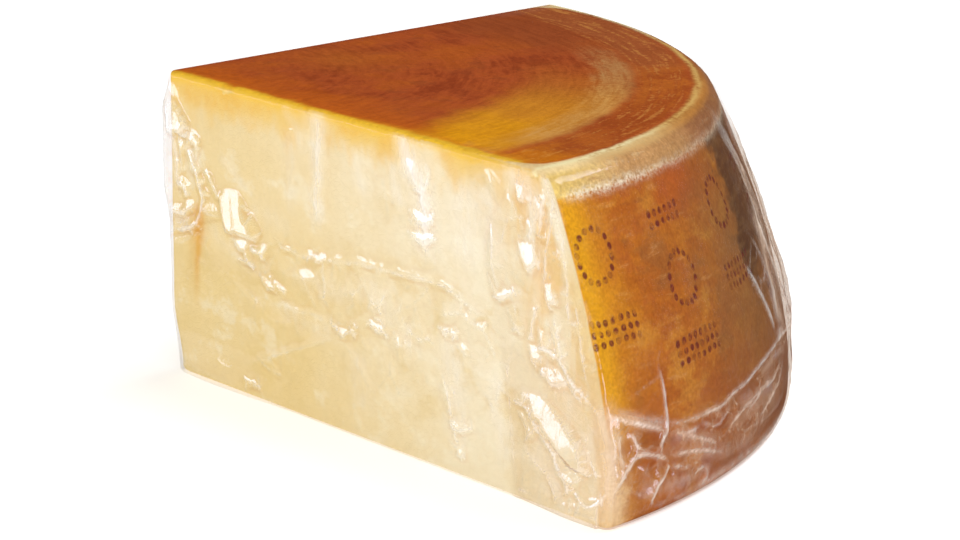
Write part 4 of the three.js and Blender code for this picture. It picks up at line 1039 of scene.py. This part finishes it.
def film_points(rng):
    """The points that the film's facets run between, with their heights over the cheese."""
    solid = []           # creases and panels
    flank = []
    for kind, pts, h, w, m in CREASES:
        path = smooth_path(pts)
        path = np.column_stack([to_s(kind, path[:, 0], path[:, 1]), path[:, 1]])
        p, t, length = even_steps(path, 2.1)
        ends = smooth(0.0, 0.25, t) * smooth(1.0, 0.75, t) * 0.8 + 0.2
        vary = 1.0 + 0.16 * rng.uniform(-1, 1, len(p))
        p = p + rng.normal(0, 0.16, p.shape)
        hh = h * CREASE_SCALE * ends * vary
        if kind != "r":
            p[:, 0] += hh * (LEAN if kind == "f" else -LEAN)
        line = np.column_stack([p, hh])
        solid.append(line[off_panels(line)])
        d = np.gradient(p, axis=0)
        nrm = np.column_stack([-d[:, 1], d[:, 0]])
        nrm /= np.linalg.norm(nrm, axis=1, keepdims=True) + 1e-9
        side = rng.choice([-1, 1])
        for sgn, k in ((side, 1.15), (-side, 2.5)):
            q = p[::2] + nrm[::2] * (sgn * w * k * rng.uniform(0.8, 1.25, len(p[::2])))[:, None]
            q = np.column_stack([q, 0.12 * hh[::2] * rng.uniform(0, 1, len(q))])
            flank.append(q[off_panels(q)])
    for panel in PANELS:
        p, h, gx, gz, low, lean = panel_shape(*panel)
        middle = p.mean(0)
        for k in (0.75, 0.45):
            inner = (middle + (p - middle) * k)[::2]
            hi = np.minimum(gx * inner[:, 0] + gz * inner[:, 1] - low, 3.2)
            solid.append(np.column_stack([inner[:, 0] + lean * hi, inner[:, 1], hi + 0.05]))
        p = np.column_stack([p[:, 0] + lean * h, p[:, 1]])
        solid.append(np.column_stack([p, h + 0.05]))
        outward = p - p.mean(0)
        outward /= np.linalg.norm(outward, axis=1, keepdims=True) + 1e-9
        q = p + outward * (1.0 + 0.55 * h + 0.9 * rng.uniform(0, 1, len(p)))[:, None]
        q = np.column_stack([q, np.zeros(len(q))])
        flank.append(q[off_panels(q)])
    solid = np.vstack(solid)
    flank = np.vstack(flank)

    def clear_of(points, others, reach):
        keep = np.ones(len(points), bool)
        for i in range(0, len(points), 400):
            d = np.hypot(points[i:i + 400, None, 0] - others[None, :, 0], points[i:i + 400, None, 1] - others[None, :, 1])
            keep[i:i + 400] = d.min(1) > reach
        return points[keep]

    flank = clear_of(flank, solid, 1.3)
    base = []
    for number, (du, dz) in enumerate(((15.0, 15.0), (5.0, 8.0), (4.4, 9.5), (7.0, 5.5), (7.0, 5.0), (8.0, 30.0), (16.0, 16.0))):
        us = np.arange(-S_TIP + du / 2, S_END, du)
        vs = np.arange(dz / 2 - dz, HEIGHT + dz, dz)
        U, V = np.meshgrid(us, vs)
        U = U + ((np.arange(len(vs)) % 2) * du / 2)[:, None]
        U = U + rng.uniform(-0.36, 0.36, U.shape) * du
        V = V + rng.uniform(-0.36, 0.36, V.shape) * dz
        U, V = U.ravel(), V.ravel()
        _, _, amp, k = zone_sizes(U, V)
        h = amp * rng.uniform(0, 1, U.shape) ** 1.6
        ok = (k == number) & (V > 1.5) & (V < HEIGHT - 2.5) & (U > -S_TIP + 2) & (U < S_END - 2)
        h = h * (0.25 + 0.75 * smooth(3, 9, np.minimum(U, S_END - U)))      # tight round the tip
        h = np.where((U > 10) & (U < 28) & (V > 85), 0.05 * h, h)           # and beside the top of its ear
        base.append(np.column_stack([U, V, h])[ok])
    base = clear_of(np.vstack(base), np.vstack([solid, flank]), 2.3)
    rim = []
    for z0 in (0.0, HEIGHT - 0.2):
        u = np.arange(-S_TIP - 4, S_END + 6, 5.0)
        rim.append(np.column_stack([u, np.full(len(u), z0), np.zeros(len(u))]))
    for u0 in (-S_TIP - 3, S_END + 3):
        v = np.arange(3.0, HEIGHT - 3, 5.0)
        rim.append(np.column_stack([np.full(len(v), u0), v, np.zeros(len(v))]))
    return np.vstack([solid, flank, base] + rim)


def fine_points(rng, du, dz):
    us, vs = np.arange(-S_TIP - du, S_END + 2 * du, du), np.arange(-dz, HEIGHT + 2 * dz, dz)
    U, V = np.meshgrid(us, vs)
    U = U + ((np.arange(len(vs)) % 2) * du / 2)[:, None] + rng.uniform(-0.42, 0.42, U.shape) * du
    V = V + rng.uniform(-0.42, 0.42, V.shape) * dz
    return np.column_stack([U.ravel(), V.ravel(), rng.uniform(0, 1, U.size)])


def facet_heights(s, z, points):
    """Heights, at the places s, z, of the flat facets that join the points."""
    out = delaunay_2d_cdt([Vector((float(p[0]), float(p[1]))) for p in points], [], [], 0, 1e-3)
    flat, faces, source = out[0], out[2], out[3]
    h = [max((points[i][2] for i in src), default=0.0) for src in source]
    tree = BVHTree.FromPolygons([(v.x, v.y, float(k)) for v, k in zip(flat, h)], faces, all_triangles=True)
    down = Vector((0, 0, -1))
    res = np.zeros(s.size)
    cast = tree.ray_cast
    for i, (u, v) in enumerate(zip(s.ravel().tolist(), z.ravel().tolist())):
        hit = cast(Vector((u, v, 30.0)), down)[0]
        if hit is not None:
            res[i] = hit.z
    return res.reshape(s.shape)


def make_film():
    step = 0.84
    n_front = int(205 / (step * 0.90))
    n_back = int(205 / (step * 2.7))
    n_rind = int(325 / (step * 1.24))
    steps = [12, n_front, 8, n_rind, 8, n_back]
    zs = levels(step, 0.30)
    W = outline(HEIGHT / 2, steps)[3]
    P, N, G = grid(steps, zs)
    s, az = unroll(P, G, W)
    z = P[..., 2]
    rng = np.random.default_rng(771)
    H = facet_heights(s, z, film_points(rng))
    _, _, amp, number = zone_sizes(s, z)
    strength = np.select([number == 1, number == 2, number == 3, number == 4, number == 5, number == 6],
                         [0.8, 0.62, 0.85, 0.75, 0.40, 0.03], 0.12)
    # the zones run into each other
    for _ in range(10):
        strength[:, 1:-1] = (strength[:, :-2] + strength[:, 2:] + 2 * strength[:, 1:-1]) / 4
        strength[1:-1] = (strength[:-2] + strength[2:] + 2 * strength[1:-1]) / 4
    for border in PANEL_BORDERS:
        strength[inside(border, s, z)] *= 0.15
    H += 0.34 * strength * facet_heights(s, z, fine_points(rng, 3.4, 5.2))
    fade = smooth(0.0, 4.0, z) * smooth(0.3, 13.0, HEIGHT - z)
    H = H * fade
    ear = bump(s, -4.0, 5.0) + bump(s - (S_END + S_TIP), -4.0, 5.0)
    H = H + 1.9 * ear * smooth(52, 66, z) * smooth(103, 93, z)
    turned_away = (G == RIND)[None, :] * bump(az, 40.5, 4.5)
    H = H * (1 - 0.55 * turned_away * smooth(66, 90, z)) + 1.9 * turned_away * bump(z, 37, 13)
    # foot flares, as in the solid
    along = np.where((G == BACK)[None, :], P[..., 1], P[..., 0])
    cuts = ((G == FRONT) | (G == BACK) | (G == TIP))[None, :]
    H = H + cuts * (1.8 * bump(along, 27, 20) * (1 - smooth(0.5, 17, z)) + 1.7 * bump(along, 200, 12) * (1 - smooth(0.5, 12, z))) * 0.95
    S = P + N * H[..., None]
    S[..., 2] = np.clip(S[..., 2], 0.02, HEIGHT - 0.02)

    milk = np.zeros(z.shape)
    veil_and_highlight = np.zeros(z.shape)
    for kind, pts, h, w, m in CREASES:
        path = smooth_path(pts)
        path = np.column_stack([to_s(kind, path[:, 0], path[:, 1]), path[:, 1]])
        path, t, _ = even_steps(path, 2.1)
        if kind != "r":
            path[:, 0] += h * CREASE_SCALE * (smooth(0.0, 0.25, t) * smooth(1.0, 0.75, t) * 0.8 + 0.2) * (LEAN if kind == "f" else -LEAN)
        where, d, t = near_path(s, z, path, 3.0)
        ends = smooth(0.0, 0.2, t) * smooth(1.0, 0.8, t)
        milk[where] = np.maximum(milk[where], 0.85 * m * ends * np.exp(-(d / 0.78) ** 2))
    wob = 3.0 * noise(P / 11.0 + 7)
    for kind, pts, w, m in VEILS_AND_HIGHLIGHTS:
        path = smooth_path(pts)
        path = np.column_stack([to_s(kind, path[:, 0], path[:, 1]), path[:, 1]])
        path, _, _ = even_steps(path, 5.0)
        where, d, t = near_path(s + wob, z, path, 3 * w)
        ends = smooth(0.0, 0.2, t) * smooth(1.0, 0.7, t)
        edge = np.exp(-(d / w) ** 2.0)
        veil_and_highlight[where] = np.maximum(veil_and_highlight[where], m * ends * edge)
    veil_and_highlight *= smooth(HEIGHT - 0.2, HEIGHT - 2.0, z)
    # creases: ridges catch the light, valleys look darker
    curve = (np.roll(H, 1, 1) + np.roll(H, -1, 1)) * 0.5 - H
    curve[1:-1] += (H[2:] + H[:-2]) * 0.5 - H[1:-1]
    ridge = np.clip(-curve / 0.12, 0, 1)
    valley = np.clip(curve / 0.16, 0, 1)
    valley[:, 1:-1] = (valley[:, :-2] + valley[:, 2:] + 2 * valley[:, 1:-1]) / 4
    fold = np.clip(milk * (0.75 + 0.7 * noise(P / 5.0 + 31)) + np.where((G == RIND)[None, :], 0.22, 0.42) * ridge ** 1.5, 0, 1)
    # places on the lower rind where the film clings, so that the rind shows through deep and red
    cling = np.zeros(z.shape)
    for a0, z0, ra, rz in CLINGS:
        cling = np.maximum(cling, np.exp(-((s - to_s("r", a0, z)) / ra) ** 2 - ((z - z0) / rz) ** 2 + 0.9 * noise(P / 4.0 + 60)))
    cling = smooth(0.30, 0.75, cling) * (G == RIND)[None, :]
    valley = np.clip(valley + cling, 0, 1)
    m = np.minimum(az, 90 - az)
    rind = (G == RIND)[None, :]
    ledge = 27 + 11 * smooth(9, 0, m) + 3 * smooth(20, 34, m)
    lower = rind * smooth(ledge + 1, ledge - 1.5, z) * (0.45 + 0.55 * smooth(2, 14, z)) * (0.70 + 0.30 * smooth(-0.2, 0.3, noise(P / 14.0 + 80)))
    lower = lower * (1 - 0.75 * cling)
    layer = np.maximum(lower, rind * 0.75 * smooth(31, 35.5, m) * smooth(98, 80, z))
    back = (G == BACK)[None, :]
    f = np.where(s > S_RIND + S_SIDE / 2, S_END - s, s)
    beside = ((G == FRONT) | back | (G == CORNER_A)[None, :] | (G == CORNER_B)[None, :]) * smooth(S_CUT - 41, S_CUT - 38, f + wob * 0.3)
    layer = np.maximum(layer, beside * (0.30 + 0.35 * smooth(52, 46, z)))
    verts, faces = close_loft(S, 7, top_fn=lambda q: 0.06 * noise(q / 22.0 + 15) - 0.07)
    verts[:, 2] = np.clip(verts[:, 2], 0.0, HEIGHT)
    ob = mesh_object("clear_film_skin", to_world(verts), faces, film_material())
    extra = len(verts) - fold.size
    for name, values in (("fold", fold), ("layer", layer), ("veil_and_highlight", veil_and_highlight), ("valley", valley)):
        add_attribute(ob, name, np.concatenate([values.ravel(), np.zeros(extra)]))
    return ob


cheese = make_cheese()
film = make_film()
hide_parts(NODE)
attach(cheese, "root")
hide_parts(NODE)
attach(film, "root")
film.visible_shadow = False            # clear film throws no shadow worth tracing
film.visible_diffuse = False


# ------------------------------------------------------------------------------------------------
# Floor, light and camera
# ------------------------------------------------------------------------------------------------
def emission_object(name, verts, faces, strength):
    mat = bpy.data.materials.new(name)
    nn = Nodes(mat)
    e = nn.node("ShaderNodeEmission")
    e.inputs[1].default_value = strength
    o = nn.node("ShaderNodeOutputMaterial")
    nn.tree.links.new(e.outputs[0], o.inputs["Surface"])
    mat.cycles.emission_sampling = "NONE"
    return mesh_object(name, verts, faces, mat, False)


def make_stage():
    """A pale round floor that runs out into a plain pale backdrop."""
    rings, n = (0.0, 0.4, 0.8, 1.2, 1.6, 2.0), 64
    verts, faces = [(0.0, 0.0, -0.0004)], []
    for r in rings[1:]:
        for i in range(n):
            a = 2 * math.pi * i / n
            verts.append((r * math.cos(a), r * math.sin(a), -0.0004))
    for i in range(n):
        faces.append((0, 1 + i, 1 + (i + 1) % n))
    for k in range(len(rings) - 2):
        for i in range(n):
            a, b = 1 + k * n + i, 1 + k * n + (i + 1) % n
            faces.append((a, a + n, b + n, b))
    mat = bpy.data.materials.new("pale_floor")
    nn = Nodes(mat)
    c = nn.node("ShaderNodeTexCoord")
    length = nn.node("ShaderNodeVectorMath", operation="LENGTH")
    nn.tree.links.new(c.outputs["Object"], length.inputs[0])
    far = nn.step(0.35, 1.1, S(nn, length.outputs["Value"]))
    b = nn.node("ShaderNodeBsdfPrincipled")
    b.inputs["Base Color"].default_value = (0.80, 0.80, 0.80, 1)
    b.inputs["Roughness"].default_value = 0.9
    b.inputs["Specular IOR Level"].default_value = 0.1
    b.inputs["Emission Color"].default_value = (1, 1, 1, 1)
    nn.link(0.50 + far * 0.50, b.inputs["Emission Strength"])
    o = nn.node("ShaderNodeOutputMaterial")
    nn.tree.links.new(b.outputs[0], o.inputs["Surface"])
    mat.cycles.emission_sampling = "NONE"
    ground = mesh_object("floor", np.array(verts), faces, mat, False)
    ground.visible_glossy = False

    R, rows = 5.0, 16
    verts, faces = [(0.0, 0.0, -R)], []
    for k in range(1, rows):
        t = -math.pi / 2 + math.pi * k / rows
        for i in range(n):
            a = 2 * math.pi * i / n
            verts.append((R * math.cos(t) * math.cos(a), R * math.cos(t) * math.sin(a), R * math.sin(t)))
    verts.append((0.0, 0.0, R))
    top = len(verts) - 1
    for i in range(n):
        j = (i + 1) % n
        faces.append((0, 1 + i, 1 + j))
        for k in range(rows - 2):
            a, b = 1 + k * n + i, 1 + k * n + j
            faces.append((a, a + n, b + n, b))
        faces.append((top, top - n + j, top - n + i))
    backdrop = emission_object("backdrop", np.array(verts), faces, 1.0)
    for kind in ("visible_diffuse", "visible_glossy", "visible_transmission", "visible_shadow"):
        setattr(backdrop, kind, False)


def softbox(name, direction, distance, size, radiance, colour=(1, 1, 1), size_y=None, target=(0, 0, 0.05), glint=False):
    light = bpy.data.lights.new(name, "AREA")
    light.shape = "RECTANGLE"
    light.size = size
    light.size_y = size_y or size
    area = light.size * light.size_y
    light.energy = radiance * math.pi * area      # an area lamp of this power has this radiance
    light.color = colour
    ob = bpy.data.objects.new(name, light)
    bpy.context.scene.collection.objects.link(ob)
    d = Vector(direction).normalized()
    ob.location = Vector(target) + d * distance
    ob.rotation_mode = "QUATERNION"
    ob.rotation_quaternion = (-d).to_track_quat("-Z", "Y")
    ob.visible_camera = False
    ob.visible_glossy = glint
    ob.visible_diffuse = not glint
    return ob


make_stage()
softbox("key", (-0.68, -0.74, 0.30), 1.35, 1.4, 1.75, size_y=0.95, target=(0, 0, 0.14))
softbox("front", (0.42, -0.90, 0.20), 1.5, 1.0, 2.3, size_y=0.7)
softbox("fill", (0.88, -0.38, 0.42), 1.5, 0.8, 4.3)
softbox("top", (0.10, 0.40, 1.0), 1.5, 1.0, 5.2)
# narrow lamps that only show as highlights in the film
softbox("glint_front", (-0.70, -0.68, -0.036), 1.6, 0.50, 5.6, (0.78, 0.96, 1.36), size_y=0.26, target=(0, 0, 0.06), glint=True)
softbox("glint_sheen", (-0.69, -0.68, -0.12), 1.7, 1.30, 0.42, (0.80, 0.98, 1.35), size_y=0.50, target=(0, 0, 0.06), glint=True)
softbox("glint_side", (0.45, 0.80, 0.75), 1.6, 0.42, 7.0, (0.85, 0.98, 1.25), glint=True)
softbox("glint_low", (0.86, 0.42, -0.02), 1.6, 0.30, 5.0, (0.85, 0.98, 1.25), size_y=0.5, glint=True)
softbox("glint_back", (-0.70, 0.66, -0.20), 1.6, 0.75, 1.0, size_y=0.60, target=(0, 0, 0.06), glint=True)

world = bpy.data.worlds.new("studio")
bpy.context.scene.world = world
world.use_nodes = True
bg = world.node_tree.nodes["Background"]
bg.inputs[0].default_value = (1, 1, 1, 1)
bg.inputs[1].default_value = 0.03

scene = bpy.context.scene
scene.view_settings.view_transform = "Standard"
scene.view_settings.look = "None"
scene.view_settings.exposure = 0.0

cam_data = bpy.data.cameras.new("camera")
cam = bpy.data.objects.new("camera", cam_data)
scene.collection.objects.link(cam)
cam_data.sensor_width = 36.0
cam_data.lens = 3050.0 / 960.0 * 36.0
cam_data.clip_start = 0.05
cam_data.clip_end = 60
right = Vector((0.6816, 0.7316, 0.0109)).normalized()
forward = Vector((-0.7008, 0.6570, -0.2780)).normalized()
up = right.cross(forward).normalized()
right = forward.cross(up).normalized()
cam.matrix_world = Matrix((
    (right.x, up.x, -forward.x, (812.2213 + AXIS) * MM),
    (right.y, up.y, -forward.y, (-613.693 + AXIS) * MM),
    (right.z, up.z, -forward.z, 329.298 * MM),
    (0, 0, 0, 1)))
scene.camera = cam
